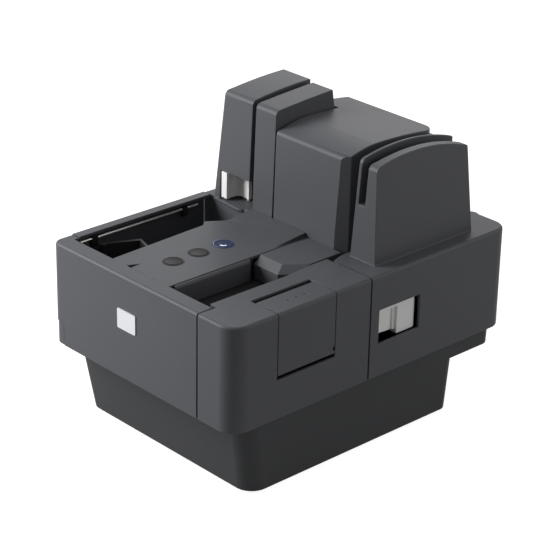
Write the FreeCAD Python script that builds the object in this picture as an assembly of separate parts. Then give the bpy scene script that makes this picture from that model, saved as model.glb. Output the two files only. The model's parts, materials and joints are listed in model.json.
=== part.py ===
import FreeCAD, Part
import math
import os
from FreeCAD import Vector

os.makedirs("parts", exist_ok=True)

# A desktop cheque scanner. The origin is at the bottom centre, the front face looks along -Y,
# and the long side with the cartridge cover looks along +X. All sizes are in millimetres.

# Body
body_width = 194.0
body_depth = 271.4
deck_height = 140.4
skin = 2.4
seam = 1.3
fine_seam = 0.6
front_left_radius = 7.6
front_right_radius = 14.0
rear_radius = 13.0
rim_fillet = 2.4
inner_corner_floor = 1.0
seat = 0.3
overrun = 5.0
body_left = -body_width / 2
body_right = body_width / 2
body_front = -body_depth / 2
body_rear = body_depth / 2

# Lower housing: a tapered tub with a shelf behind it
foot_height = 2.0
foot_radius = 8.0
foot_inset = 18.0
cover_height = 79.0
base_height = deck_height - cover_height - foot_height
base_wall = 3.0
base_floor = 3.0
base_left_inset = 3.0
base_right_inset = 7.8
base_front_inset = 17.5
base_rear_inset = 40.4
base_left_taper = 4.7
base_right_taper = 2.9
base_front_taper = 9.6
base_rear_taper = 2.8
base_front_left_radius = 8.0
base_front_right_radius = 14.0
base_rear_radius = 10.0
shelf_height = 17.0
shelf_rear_inset = 2.2
shelf_overlap = 47.1
lid_gap = 0.4
base_plate = 3.0
frame_plate = 3.0
post_radius = 4.0
post_inset = 16.0
cover_bottom = foot_height + base_height
base_top = cover_bottom - lid_gap
base_left = body_left + base_left_inset
base_right = body_right - base_right_inset
base_front = body_front + base_front_inset
base_rear = body_rear - base_rear_inset
shelf_rear = body_rear - shelf_rear_inset
shelf_bottom = base_top - shelf_height
deck_bottom = deck_height - skin

# Seams of the upper covers
front_seam_inset = 36.25
return_depth = 17.8
front_rim = 13.7
left_rim = 9.1
left_rim_rise = 0.8
corner_tab_width = 11.4
corner_tab_height = 17.0
front_cover_right = body_right - front_seam_inset
front_cover_rear = body_front + return_depth
front_rim_edge = body_front + front_rim
left_rim_edge = body_left + left_rim

# Document path: in at the right, round the rear turn, out at the left
path_right_inset = 45.0
path_left_inset = 54.6
path_right = body_right - path_right_inset
path_left = body_left + path_left_inset
turn_radius = (path_right - path_left) / 2
turn_setback = 38.5
turn_centre_x = (path_right + path_left) / 2
turn_centre_y = body_rear - turn_setback - turn_radius
right_seam_setback = 58.05
right_seam_place = turn_centre_y - right_seam_setback
left_seam_setback = 44.0
left_seam_place = turn_centre_y - left_seam_setback
path_width = 2.2
path_floor_drop = 17.0
path_floor_top = deck_height - path_floor_drop
path_floor_plate = 2.4
guide_wall = 2.0
turn_rise = 62.2
turn_top = deck_height + turn_rise
outer_right = path_right + path_width
outer_left = path_left - path_width
path_floor_bottom = path_floor_top - path_floor_plate

# Swinging units
hinge_inset = 33.0
hinge_x = body_right - hinge_inset
hinge_setback = 6.7
hinge_y = body_rear - hinge_setback
barrel_radius = 6.0
pin_radius = 2.0
pin_height = 62.0
running_fit = 0.05
unit_lift = 0.5
unit_plate = 2.5
unit_web = 2.4
inner_wall_gap = 5.0
right_inner = outer_right + inner_wall_gap
inner_front_gap = 3.7
right_inner_front = outer_right + inner_front_gap
flare_middle_reach = 12.05
flare_y = right_seam_place + flare_middle_reach
flare_middle_gap = 0.5
flare_x = outer_right + flare_middle_gap
flare_reach = 22.05
flare_end_y = right_seam_place + flare_reach
flare_start_reach = 2.25
flare_start_y = right_seam_place + flare_start_reach
flare_start_gap = 3.5
flare_start_x = outer_right + flare_start_gap
guide_end_gap = 2.8
guide_rear = turn_centre_y - guide_end_gap
fixed_rear_half = hinge_x - barrel_radius - seam
right_unit_front = right_seam_place + seam
left_unit_front = left_seam_place + seam
unit_floor_bottom = base_top + unit_lift
unit_floor_top = unit_floor_bottom + unit_plate

# Right tower, with the card slot
right_tower_wall = 5.6
right_tower_left = outer_right + right_tower_wall
right_tower_inset = 12.5
right_tower_right = body_right - right_tower_inset
right_tower_setback = 15.65
right_tower_front = right_seam_place + right_tower_setback
right_tower_rear_inset = 28.0
right_tower_rear = body_rear - right_tower_rear_inset
right_tower_left_lean = 0.05
right_tower_right_lean = 0.062
right_tower_front_lean = 0.04
right_tower_rear_lean = 0.077
right_tower_front_rise = 71.1
right_tower_front_top = deck_height + right_tower_front_rise
right_tower_crown_rise = 75.6
right_tower_crown = deck_height + right_tower_crown_rise
right_tower_rear_rise = 66.1
right_tower_rear_top = deck_height + right_tower_rear_rise
right_tower_crown_reach = 40.4
right_tower_crown_y = right_tower_front + right_tower_crown_reach
slot_rise = 40.5
slot_bottom = deck_height + slot_rise
slot_width = 6.4
slot_inset = 4.6
slot_left_at_bottom = right_tower_left + slot_inset
slot_wall = 2.2
inner_wall_rise = 2.6
right_tower_round = 5.0

# Left tower, with the lever recess
left_tower_inset = 12.3
left_tower_left = body_left + left_tower_inset
left_tower_gap = 2.3
left_tower_right = outer_left - left_tower_gap
left_tower_reach = 18.3
left_tower_rear = turn_centre_y + left_tower_reach
left_tower_left_lean = 0.093
left_tower_front_lean = 0.04
left_tower_front_rise = 85.0
left_tower_front_top = deck_height + left_tower_front_rise
left_tower_middle_rise = 87.8
left_tower_middle_top = deck_height + left_tower_middle_rise
left_tower_middle_gap = 15.0
left_tower_middle_y = turn_centre_y - left_tower_middle_gap
left_tower_rear_rise = 89.3
left_tower_round = 4.5
left_tower_rear_top = deck_height + left_tower_rear_rise
recess_inset = 6.3
recess_left = left_tower_left + recess_inset
recess_tall = 22.6
recess_top = deck_height + recess_tall
recess_deep = 18.0
recess_back = left_seam_place + recess_deep
lip_bulge_inset = 9.9
lip_bulge_x = left_tower_right - lip_bulge_inset
lip_bulge = 1.6
lip_bulge_y = left_seam_place - lip_bulge
lip_return = 4.6
lip_end_y = left_seam_place + lip_return
lip_round = 2.9
lip_round_x = left_tower_right - lip_round

# Centre tower and strip
tower_front = left_unit_front
tower_lean = 0.03
strip_wide = 22.5
tower_left = path_left + strip_wide
facet_wide = 8.6
facet_x = path_right - facet_wide
facet_deep = 6.5
facet_y = tower_front + facet_deep
tower_front_rise = 69.6
tower_front_top = deck_height + tower_front_rise
tower_shoulder_reach = 7.7
tower_shoulder_y = tower_front + tower_shoulder_reach
tower_shoulder_rise = 71.4
tower_shoulder = deck_height + tower_shoulder_rise
tower_crown_reach = 28.7
tower_crown_y = tower_front + tower_crown_reach
tower_crown_rise = 75.0
tower_crown = deck_height + tower_crown_rise
tower_overhang = 2.8
tower_rear_y = turn_centre_y + turn_radius + tower_overhang
tower_rear_rise = 70.6
tower_rear_top = deck_height + tower_rear_rise
tower_back_reach = 16.0
tower_back_y = turn_centre_y + tower_back_reach
tower_back_rise = 74.2
tower_back_top = deck_height + tower_back_rise
plateau_inset = 3.4
plateau_left = path_left + plateau_inset
strip_gap = 1.1
strip_right = tower_left - strip_gap
strip_front_rise = 84.6
strip_front_top = deck_height + strip_front_rise
strip_middle_reach = 22.7
strip_middle_y = tower_front + strip_middle_reach
strip_middle_rise = 86.2
strip_middle_top = deck_height + strip_middle_rise
strip_rear_reach = 16.0
strip_rear_y = turn_centre_y + strip_rear_reach
strip_rear_rise = 88.4
strip_rear_top = deck_height + strip_rear_rise
strip_foot_reach = 20.3
strip_round = 4.5
strip_foot_y = turn_centre_y + strip_foot_reach
tower_open_gap = 3.0
tower_cavity_rear = turn_centre_y - tower_open_gap
tower_corner = 12.0
tower_round = 4.0

# Rear cover
rear_tower_left_gap = 4.9
rear_tower_left = outer_left - rear_tower_left_gap
rear_tower_right_gap = 0.7
rear_tower_right = right_inner - rear_tower_right_gap
rear_tower_reach = 10.5
rear_tower_rear = turn_centre_y + turn_radius + rear_tower_reach
rear_tower_left_reach = 19.3
rear_tower_front_left = turn_centre_y + rear_tower_left_reach
rear_tower_right_reach = 2.0
rear_tower_front_right = turn_centre_y - rear_tower_right_reach
rear_tower_radius = 12.0
rear_wall = 2.0
left_inner_gap = 1.5
left_inner_rear = rear_tower_left - left_inner_gap
step_y = rear_tower_rear - seam
port_rise = 10.0
port_height = base_top + frame_plate + port_rise
inlet_inset = 18.7
inlet_place = -fixed_rear_half + inlet_inset
inlet_width = 9.5
inlet_tall = 11.0
inlet_deep = 14.0
inlet_hole = 3.2
inlet_hole_deep = 9.0
inlet_pin = 1.0
port_pitch = 28.0
usb_place = inlet_place + port_pitch
usb_width = 12.0
usb_tall = 10.9
usb_deep = 16.0
usb_hole_width = 8.4
usb_hole_tall = 7.8
usb_hole_deep = 9.0
usb_tongue = 2.4
port_fit = 0.2
rear_screw_inset = 6.7
rear_screw_x = fixed_rear_half - rear_screw_inset
rear_screw_rise = 8.6
rear_screw_low = cover_bottom + rear_screw_rise
rear_screw_drop = 9.4
rear_screw_high = deck_height - rear_screw_drop
screw_head = 2.7
screw_head_deep = 1.2
screw_shank = 1.4
screw_length = 7.0

# Button panel
panel_front_gap = 0.3
panel_widening = 4.0
panel_left_mid = outer_left - panel_widening
panel_widening_end = 26.95
panel_left_mid_y = right_seam_place - panel_widening_end
panel_bulge = 7.5
panel_bulge_x = outer_left - panel_bulge
panel_bulge_end = 23.15
panel_bulge_y = right_seam_place - panel_bulge_end
panel_bulge_start = 20.55
panel_bulge_back_y = right_seam_place - panel_bulge_start
panel_neck = 0.3
panel_neck_x = outer_left + panel_neck
panel_neck_end = 8.95
panel_neck_y = right_seam_place - panel_neck_end
panel_back = 1.6
panel_back_x = outer_left + panel_back
hopper_wide = 35.6
panel_right = path_right - hopper_wide
panel_overlap = 1.0
panel_rear = left_seam_place + panel_overlap
bulge_fillet = 1.6
crease_left = 9.05
crease_left_y = right_seam_place - crease_left
crease_right = 15.15
crease_right_y = right_seam_place - crease_right
wedge_rise = 3.3
notch_inset = 15.6
notch_x = outer_left + notch_inset
notch_width = 4.6
notch_depth = 8.6
button_across_share = 0.513
button_x = outer_left + (panel_right - outer_left) * button_across_share
button_along_share = 0.405
button_y = front_rim_edge + (panel_rear - front_rim_edge) * button_along_share
button_pitch = 23.3
button_radius = 6.75
button_gap = 0.2
button_ring = 0.55
button_proud = 0.5
ring_proud = 0.25
button_flange = 8.2
button_flange_thick = 1.4
button_travel = 1.0
button_stem = 2.0
button_stem_length = 3.0
button_fillet = 0.5
ring_drop = 0.8
ring_fit = 0.05
switch_width = 6.0
switch_tall = 2.2
board_thick = 1.6
board_half_width = 11.0
board_margin = 11.0
boss_radius = 2.2
boss_inset = 3.0

# Hopper
hopper_gap = 0.6
hopper_left = panel_right + hopper_gap
feed_length = 36.85
hopper_rear = right_seam_place - feed_length
hopper_wall = 2.4
hopper_front_wall = 2.4
cover_edge_gap = 3.2
cover_edge_x = path_right + cover_edge_gap
cover_edge_setback = 16.8
cover_edge_front = body_front + cover_edge_setback
cover_edge_bend = 40.95
cover_edge_bend_y = right_seam_place - cover_edge_bend
cover_edge_near_gap = 0.9
cover_edge_near_x = path_right + cover_edge_near_gap
cover_edge_near = 14.95
cover_edge_near_y = right_seam_place - cover_edge_near
plate_thick = 2.0
plate_gap = 0.6
plate_front_gap = 4.0
plate_rear_gap = 5.0
plate_lift = 2.0
plate_drop = 2.8
plate_top = deck_height - plate_drop
plate_travel = 20.0
tongue_width = 14.0
tongue_length = 16.0
tongue_thick = 2.0
tongue_fit = 0.3

# Feed block behind the hopper
block_gap = 0.2
block_left = hopper_left + block_gap
block_inset = 0.4
block_right = path_right - block_inset
block_corner_wide = 9.7
block_corner_x = block_right - block_corner_wide
block_corner_deep = 12.6
block_side_y = hopper_rear + block_corner_deep
block_slope = 5.4
block_shoulder = deck_height - block_slope
block_top_setback = 6.5
block_top_front = hopper_rear + block_top_setback
block_top_corner_wide = 12.0
block_top_corner_x = block_right - block_top_corner_wide
block_top_corner_deep = 22.4
block_top_side_y = hopper_rear + block_top_corner_deep

# Rollers and their drive
roller_lift = 3.6
roller_bottom = path_floor_top + roller_lift
roller_tall = 10.0
roller_top = roller_bottom + roller_tall
roller_gap = 0.3
roller_proud = 0.85
drive_radius = 8.0
pinch_radius = 9.0
pick_radius = 7.2
shaft_radius = 2.0
stub_radius = 1.5
drive_setback = 20.0
drive_y = turn_centre_y - drive_setback
turn_roller_proud = 0.8
motor_setback = 38.0
motor_y = turn_centre_y - motor_setback
motor_radius = 17.0
motor_shaft = 1.6
pulley_radius = 7.0
pulley_drop = 15.0
pulley_bottom = path_floor_bottom - pulley_drop
pulley_tall = 6.0
motor_gap = 2.0
motor_top = pulley_bottom - motor_gap
pulley_rim = 0.8
pulley_rim_thick = 0.7
belt_thick = 1.0
belt_gap = 0.1
bearing_radius = 4.5
bearing_drop = 6.0
roller_window = 0.8
feed_setback = 12.45
feed_y = right_seam_place - feed_setback
feed_proud = 0.6
pick_setback = 15.1
pick_y = hopper_rear - pick_setback
pick_proud = 0.8
feed_motor_angle = -35.0
feed_motor_radius = 13.0
gear_module = 0.8
gear_teeth = 30
pinion_teeth = 12
gear_drop = 26.4
gear_bottom = path_floor_top - gear_drop
gear_tall = 5.0
feed_motor_gap = 3.0
feed_motor_top = gear_bottom - feed_motor_gap
gear_backlash = 0.12
feed_belt_drop = 16.4
feed_belt_bottom = path_floor_top - feed_belt_drop
feed_belt_tall = 5.0
feed_pulley_radius = 5.0
bracket_drop = 1.8
bracket_top = path_floor_top - bracket_drop
bracket_plate = 2.4
bracket_left = right_inner_front
bracket_wide = 15.2
bracket_right = cover_edge_x + bracket_wide
bracket_margin = 12.0
bracket_end = 3.35
bracket_rear = right_seam_place - bracket_end
leg_thick = 2.4
leg_reach = 0.9
leg_rear = hopper_rear + leg_reach
pinch_arm = 6.0
pinch_arm_thick = 2.4
pinch_arm_gap = 0.3

# Eject pocket
pocket_deep = 28.4
pocket_floor = deck_height - pocket_deep
pocket_plate = 2.4
pocket_inset = 4.8
pocket_left = body_left + pocket_inset
pocket_wall = 1.8
pocket_end_gap = 2.6
pocket_rear = left_seam_place - pocket_end_gap
rod_inset = 1.5
rod_x = pocket_left + rod_inset
rod_drop = 5.4
rod_z = deck_height - rod_drop
rod_radius = 1.0
rod_setback = 20.7
rod_front = body_front + rod_setback
rod_end_gap = 7.4
rod_rear = pocket_rear - rod_end_gap
clip_setback = 33.7
clip_front = body_front + clip_setback
clip_end_gap = 20.4
clip_rear = pocket_rear - clip_end_gap
clip_half = 2.7
clip_drop = 11.4
clip_bottom = deck_height - clip_drop
clip_tall = 8.4
clip_top = clip_bottom + clip_tall
clip_deep = 2.6
clip_fit = 0.03
arm_inset = 7.9
arm_pivot_x = pocket_left + arm_inset
arm_setback = 36.5
arm_pivot_y = body_front + arm_setback
arm_elbow_across = 11.8
arm_elbow_x = arm_pivot_x + arm_elbow_across
arm_elbow_along = 25.0
arm_elbow_y = arm_pivot_y + arm_elbow_along
arm_tip_across = 25.5
arm_tip_x = arm_pivot_x + arm_tip_across
arm_tip_along = 20.7
arm_tip_y = arm_pivot_y + arm_tip_along
arm_thick = 2.0
arm_drop = 8.4
arm_top = deck_height - arm_drop
arm_lift = 0.6
arm_hub = 3.0
arm_pin = 1.5

# Cartridge cover in the right side
flap_length = 53.0
flap_place_share = 0.549
flap_front = body_front + (right_seam_place - body_front - flap_length) * flap_place_share
flap_rear = flap_front + flap_length
flap_tall = 46.4
flap_bottom = deck_height - flap_tall
flap_wide = 23.0
flap_inner = body_right - flap_wide
flap_gap = 0.65
flap_hinge_inset = 1.2
flap_hinge_rise = 1.0
flap_pin = 0.8
flap_pin_length = 2.2
flap_lower_gap = 3.0
flap_notch = 1.5
flap_notch_rise = 2.2
flap_notch_tall = 3.3
finger_slot = 4.5
dimple_radius = 0.7
dimple_deep = 0.5
dimple_inset = 12.5
dimple_x = body_right - dimple_inset
dimple_pitch = 7.6
dimple_shift = 0.4
cartridge_gap = 0.6
cartridge_left = flap_inner + cartridge_gap
cartridge_inset = 4.4
cartridge_right = body_right - cartridge_inset
cartridge_front_gap = 2.7
cartridge_front = flap_front + cartridge_front_gap
cartridge_rear_gap = 3.3
cartridge_rear = flap_rear - cartridge_rear_gap
cartridge_lift = 1.0
cartridge_bottom = flap_bottom + cartridge_lift
cartridge_drop = 5.4
cartridge_top = deck_height - cartridge_drop
cartridge_tab = 5.0
cartridge_tab_tall = 2.0
cradle_plate = 2.4
cradle_leg = 2.4
cradle_leg_inset = 4.0

# Window and release lever of the right unit
window_setback = 9.65
window_front = right_seam_place + window_setback
window_wide = 40.7
window_rear = window_front + window_wide
window_tall = 26.0
window_drop = 27.4
window_top = deck_height - window_drop
window_bottom = window_top - window_tall
lever_front_gap = 1.4
lever_front = window_front + lever_front_gap
lever_rear_gap = 2.0
lever_rear = window_rear - lever_rear_gap
lever_overlap = 1.4
lever_lift = 0.3
lever_bottom = window_bottom + lever_lift
lever_top = window_top + lever_overlap
lever_face_inset = 3.4
lever_deep = 9.0
lever_nose = 9.4
lever_nose_rise = 6.2
lever_grip_rise = 3.5
lever_grip_drop = 4.2
lever_grip_front = lever_front + lever_nose
lever_grip_wide = 10.4
lever_grip_rear = lever_grip_front + lever_grip_wide
lever_grip_deep = 3.2
lever_step = 1.3
lever_step_width = 2.6
lever_pivot_inset = 3.4
lever_pivot_deep = 6.0
lever_pin = 1.5
lever_pin_length = 3.0
lever_plate_gap = 0.3

# Release lever of the left unit
handle_gap = 0.8
handle_left = recess_left + handle_gap
handle_wide = 6.0
handle_right = handle_left + handle_wide
handle_setback = 2.2
handle_front = left_seam_place + handle_setback
ridge_proud = 0.9
ridge_half = 0.7
ridge_start = 1.6
ridge_pitch = 1.7
ridge_count = 2
hollow_side = 7.8
hollow_side_y = handle_front + hollow_side
hollow_deep = 12.2
hollow_y = handle_front + hollow_deep
hollow_round = 3.2
hollow_x = handle_right + hollow_round
hollow_end = 11.3
hollow_end_y = handle_front + hollow_end
left_lever_wide = 18.0
left_lever_right = handle_left + left_lever_wide
left_lever_back_gap = 0.8
left_lever_back = recess_back - left_lever_back_gap
left_lever_lift = 1.4
left_lever_bottom = deck_height + left_lever_lift
left_lever_gap = 0.5
left_pivot_inset = 2.2
left_pivot_x = left_lever_right - left_pivot_inset
left_pivot_setback = 1.7
left_pivot_y = left_lever_back - left_pivot_setback
left_lever_pin = 1.2
left_lever_pin_length = 1.3

# Image sensors and reading heads
sensor_setback = 10.6
sensor_front = turn_centre_y - sensor_setback
sensor_wide = 6.8
sensor_rear = sensor_front + sensor_wide
sensor_deep = 9.5
right_sensor_deep = 5.6
sensor_rise = 63.6
sensor_top = deck_height + sensor_rise
sensor_inset = 0.2
head_setback = 34.8
head_front = turn_centre_y - head_setback
head_wide = 6.0
head_rear = head_front + head_wide
head_deep = 8.0
head_lift = 2.6
head_bottom = path_floor_top + head_lift
head_tall = 10.0
head_top = head_bottom + head_tall
head_inset = 0.2
card_head_setback = 2.0
card_head_front = turn_centre_y + card_head_setback
card_head_wide = 10.0
card_head_rear = card_head_front + card_head_wide
card_head_lift = 3.5
card_head_bottom = slot_bottom + card_head_lift
card_head_tall = 8.0
card_head_top = card_head_bottom + card_head_tall
card_head_deep = 5.0
card_head_proud = 0.4

# Frame and board
frame_wall = 2.5
frame_left_gap = 1.8
frame_left = outer_left - frame_left_gap
frame_right_gap = 1.8
frame_right = outer_right + frame_right_gap
frame_rear_gap = 4.8
frame_rear = turn_centre_y + turn_radius + frame_rear_gap
frame_arm_gap = 0.6
frame_arm_rear = left_seam_place - frame_arm_gap
board_left_gap = 34.0
board_left = base_left + board_left_gap
board_right_gap = 29.2
board_right = base_right - board_right_gap
board_front_gap = 48.2
board_front = base_front + board_front_gap
board_rear_gap = 45.3
board_rear = base_rear - board_rear_gap
board_lift = 8.0
chip_width = 14.0
chip_tall = 2.0
badge_inset = 74.6
badge_left = body_left + badge_inset
badge_wide = 19.5
badge_right = badge_left + badge_wide
badge_tall = 15.0
badge_drop = 25.4
badge_top = deck_height - badge_drop
badge_bottom = badge_top - badge_tall
badge_thick = 0.7
badge_radius = 1.0


# Shapes that the pieces are made of

def box(x0, x1, y0, y1, z0, z1):
    return Part.makeBox(x1 - x0, y1 - y0, z1 - z0, Vector(x0, y0, z0))


def rod(x, y, radius, z0, z1):
    return Part.makeCylinder(radius, z1 - z0, Vector(x, y, z0))


def rod_along_y(x, z, radius, y0, y1):
    return Part.makeCylinder(radius, y1 - y0, Vector(x, y0, z), Vector(0, 1, 0))


def closed_face(points):
    return Part.Face(Part.makePolygon(points + points[:1]))


def prism(outline, z0, z1):
    face = closed_face([Vector(x, y, z0) for x, y in outline])
    return face.extrude(Vector(0, 0, z1 - z0))


def side_prism(outline, y0, y1):
    face = closed_face([Vector(x, y0, z) for x, z in outline])
    return face.extrude(Vector(0, y1 - y0, 0))


# A rounded rectangle. The radii go front left, front right, rear right, rear left.
def rounded_outline(x0, x1, y0, y1, z, radii):
    corners = [(x0, y0, 1, 1), (x1, y0, -1, 1), (x1, y1, -1, -1), (x0, y1, 1, -1)]
    edges = []
    ends = []
    for (x, y, inward_x, inward_y), radius in zip(corners, radii):
        centre = Vector(x + inward_x * radius, y + inward_y * radius, z)
        along_x = Vector(centre.x, y, z)
        along_y = Vector(x, centre.y, z)
        diagonal = radius / math.sqrt(2)
        middle = centre - Vector(inward_x * diagonal, inward_y * diagonal, 0)
        first, last = (along_y, along_x) if inward_x == inward_y else (along_x, along_y)
        ends.append((first, middle, last))
    for index, (first, middle, last) in enumerate(ends):
        edges.append(Part.Arc(first, middle, last).toShape())
        edges.append(Part.makeLine(last, ends[(index + 1) % len(ends)][0]))
    return Part.Wire(edges)


def rounded_block(x0, x1, y0, y1, z0, z1, radii):
    face = Part.Face(rounded_outline(x0, x1, y0, y1, z0, radii))
    return face.extrude(Vector(0, 0, z1 - z0))


def fillet_where(shape, radius, wanted):
    edges = [edge for edge in shape.Edges if wanted(edge.BoundBox)]
    return shape.makeFillet(radius, edges)


def lies_at(value, low, high):
    return abs(low - value) < seat / 2 and abs(high - value) < seat / 2


def fuse(shapes):
    first, *others = shapes
    return first.fuse(others).removeSplitter() if others else first


# A belt round pulleys of one radius whose centres stand on a convex outline, anticlockwise.
# At each pulley the belt turns from the heading of one run to the heading of the next.
def belt_loop(centres, reach, z0, z1):
    count = len(centres)
    headings = []
    for index, (x, y) in enumerate(centres):
        next_x, next_y = centres[(index + 1) % count]
        headings.append(math.atan2(next_y - y, next_x - x))
    edges = []
    ends = []
    for index, (x, y) in enumerate(centres):
        before = headings[index - 1]
        turn = (headings[index] - before) % (2 * math.pi)
        angles = [before + share * turn - math.pi / 2 for share in (0, 0.5, 1)]
        ends.append([Vector(x + reach * math.cos(a), y + reach * math.sin(a), z0) for a in angles])
    for index, (first, middle, last) in enumerate(ends):
        edges.append(Part.Arc(first, middle, last).toShape())
        edges.append(Part.makeLine(last, ends[(index + 1) % count][0]))
    return Part.Face(Part.Wire(edges)).extrude(Vector(0, 0, z1 - z0))


def belt(centres, radius, z0, z1):
    inner = radius + belt_gap
    return belt_loop(centres, inner + belt_thick, z0, z1).cut(belt_loop(centres, inner, z0, z1))


# A spur gear with straight-sided teeth. The shares give the tooth's width at root, pitch and tip.
tooth_width_shares = (0.62, 0.5, 0.28)
addendum_share = 1.0
dedendum_share = 1.25


def gear(x, y, teeth, z0, z1, turn_degrees):
    pitch_radius = gear_module * teeth / 2
    radii = (pitch_radius - gear_module * dedendum_share, pitch_radius,
             pitch_radius + gear_module * addendum_share)
    pitch_angle = 2 * math.pi / teeth
    outline = []
    for tooth in range(teeth):
        middle = tooth * pitch_angle + math.radians(turn_degrees)
        flank = []
        for radius, width_share in zip(radii, tooth_width_shares):
            half = pitch_angle * width_share / 2 - gear_backlash / pitch_radius / 2
            flank.append((radius, half))
        for radius, half in flank:
            outline.append((x + radius * math.cos(middle - half), y + radius * math.sin(middle - half)))
        for radius, half in reversed(flank):
            outline.append((x + radius * math.cos(middle + half), y + radius * math.sin(middle + half)))
    return prism(outline, z0, z1)


# The hollow upper body that the covers are cut from
def corner_radii(inset):
    radii = (front_left_radius, front_right_radius, rear_radius, rear_radius)
    return [max(radius - inset, inner_corner_floor) for radius in radii]


def body_block(inset, bottom, top):
    return rounded_block(body_left + inset, body_right - inset, body_front + inset,
                         body_rear - inset, bottom, top, corner_radii(inset))


def body_shell(top):
    outer = body_block(0, cover_bottom, top)
    outer = fillet_where(outer, rim_fillet, lambda b: lies_at(top, b.ZMin, b.ZMax))
    return outer.cut(body_block(skin, cover_bottom - overrun, top - skin))


far_left = body_left - overrun
far_right = body_right + overrun
far_front = body_front - overrun
far_rear = body_rear + overrun
far_top = deck_height + body_width


# Lower housing
def base_loft(inset, front, rear, front_taper, rear_taper, radii):
    radii = [max(radius - inset, inner_corner_floor) for radius in radii]
    low = rounded_outline(base_left + base_left_taper + inset, base_right - base_right_taper - inset,
                          front + front_taper + inset, rear - rear_taper - inset, foot_height, radii)
    high = rounded_outline(base_left + inset, base_right - inset, front + inset, rear - inset,
                           base_top, radii)
    return Part.makeLoft([low, high], True, True)


def base_tub(inset):
    radii = (base_front_left_radius, base_front_right_radius, base_rear_radius, base_rear_radius)
    return base_loft(inset, base_front, base_rear, base_front_taper, base_rear_taper, radii)


def base_shelf(inset, bottom):
    front = base_rear - shelf_overlap
    radii = (inner_corner_floor, inner_corner_floor, base_rear_radius, base_rear_radius)
    shelf = base_loft(inset, front, shelf_rear, 0, 0, radii)
    return shelf.common(box(far_left, far_right, far_front, far_rear, bottom, base_top))


def base_corners(inset):
    left = base_left + base_left_taper + inset
    right = base_right - base_right_taper - inset
    front = base_front + base_front_taper + inset
    rear = base_rear - base_rear_taper - inset
    return [(x, y) for x in (left, right) for y in (front, rear)]


def base_housing():
    shelf = base_shelf(0, shelf_bottom)
    outer = base_tub(0).fuse(shelf).removeSplitter()
    floor_top = foot_height + base_floor
    inner = base_tub(base_wall).common(box(far_left, far_right, far_front, far_rear, floor_top, base_top))
    outer = outer.cut(inner).cut(base_shelf(base_wall, shelf_bottom + base_floor))
    posts = [rod(x, y, post_radius, floor_top, base_top - base_plate) for x, y in base_corners(post_inset)]
    return outer.fuse(posts)


def base_deck():
    inset = base_wall + seat
    plate = base_tub(inset).fuse(base_shelf(inset, shelf_bottom))
    plate = plate.common(box(far_left, far_right, far_front, far_rear, base_top - base_plate, base_top))
    return plate.removeSplitter()


def rubber_feet():
    return [rod(x, y, foot_radius, 0, foot_height) for x, y in base_corners(foot_inset)]


def main_board():
    floor_top = foot_height + base_floor
    bottom = floor_top + board_lift
    board = box(board_left, board_right, board_front, board_rear, bottom, bottom + board_thick)
    top = bottom + board_thick
    parts = [board]
    for x in (board_left + chip_width, -chip_width / 2, board_right - chip_width - chip_width):
        parts.append(box(x, x + chip_width, -chip_width / 2, chip_width / 2, top, top + chip_tall))
    for x in (board_left + post_radius, board_right - post_radius):
        for y in (board_front + post_radius, board_rear - post_radius):
            parts.append(rod(x, y, boss_radius, floor_top, bottom))
    return fuse(parts)


# Frame that stands on the housing and carries the path
def main_frame():
    gap = skin + seat
    plate = body_block(gap, base_top, base_top + frame_plate)
    right_front = right_seam_place - seat - skin
    outline = [(far_left, far_front), (far_right, far_front), (far_right, right_front),
               (frame_right, right_front), (frame_right, rear_tower_rear),
               (fixed_rear_half, rear_tower_rear), (fixed_rear_half, far_rear),
               (-fixed_rear_half, far_rear), (-fixed_rear_half, rear_tower_rear),
               (frame_left, rear_tower_rear), (frame_left, frame_arm_rear), (far_left, frame_arm_rear)]
    plate = plate.common(prism(outline, 0, far_top))
    low = base_top + frame_plate
    rear = frame_rear
    front = pocket_rear + seat * 2
    walls = [box(frame_left, frame_left + frame_wall, front, rear, low, path_floor_bottom),
             box(frame_right - frame_wall, frame_right, front, rear, low, path_floor_bottom),
             box(frame_left, frame_right, rear - frame_wall, rear, low, path_floor_bottom),
             box(block_left, block_left + frame_wall, front_rim_edge, right_seam_place, low,
                 path_floor_bottom)]
    tray_bottom = pocket_floor - pocket_plate
    for x in (pocket_left + hopper_wall, frame_left):
        walls.append(box(x, x + frame_wall, front_rim_edge, front, low, tray_bottom))
    return fuse([plate] + walls)


# The floor that documents stand on, with bearing bosses under it
def roller_places():
    return {"drive_roller_1": (path_right + roller_proud - drive_radius, drive_y),
            "drive_roller_2": (turn_centre_x, turn_centre_y + turn_radius + turn_roller_proud - drive_radius),
            "drive_roller_3": (path_left - roller_proud + drive_radius, drive_y)}


feed_x = cover_edge_near_x - feed_proud + drive_radius
retard_x = cover_edge_near_x - feed_proud - roller_gap - drive_radius
pick_x = cover_edge_x - pick_proud + pick_radius
right_pinch_x = path_right + roller_proud + roller_gap + pinch_radius
left_pinch_x = path_left - roller_proud - roller_gap - pinch_radius
gear_distance = gear_module * (gear_teeth + pinion_teeth) / 2
feed_motor_x = feed_x + gear_distance * math.cos(math.radians(feed_motor_angle))
feed_motor_y = feed_y + gear_distance * math.sin(math.radians(feed_motor_angle))


def path_floor():
    left = outer_left - guide_wall - seat
    right = outer_right + guide_wall + seat
    rear = turn_centre_y + turn_radius + path_width + guide_wall + seat
    front = pocket_rear + seat
    block = hopper_rear + seat
    outline = [(block_left, block), (right, block), (right, rear), (left, rear), (left, front),
               (block_left, front)]
    floor = prism(outline, path_floor_bottom, path_floor_top)
    places = list(roller_places().values()) + [(retard_x, feed_y)]
    bosses = [rod(x, y, bearing_radius, path_floor_bottom - bearing_drop, path_floor_bottom)
              for x, y in places]
    bores = [rod(x, y, shaft_radius + running_fit, 0, path_floor_top + overrun) for x, y in places]
    return fuse([floor] + bosses).cut(bores)


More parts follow.
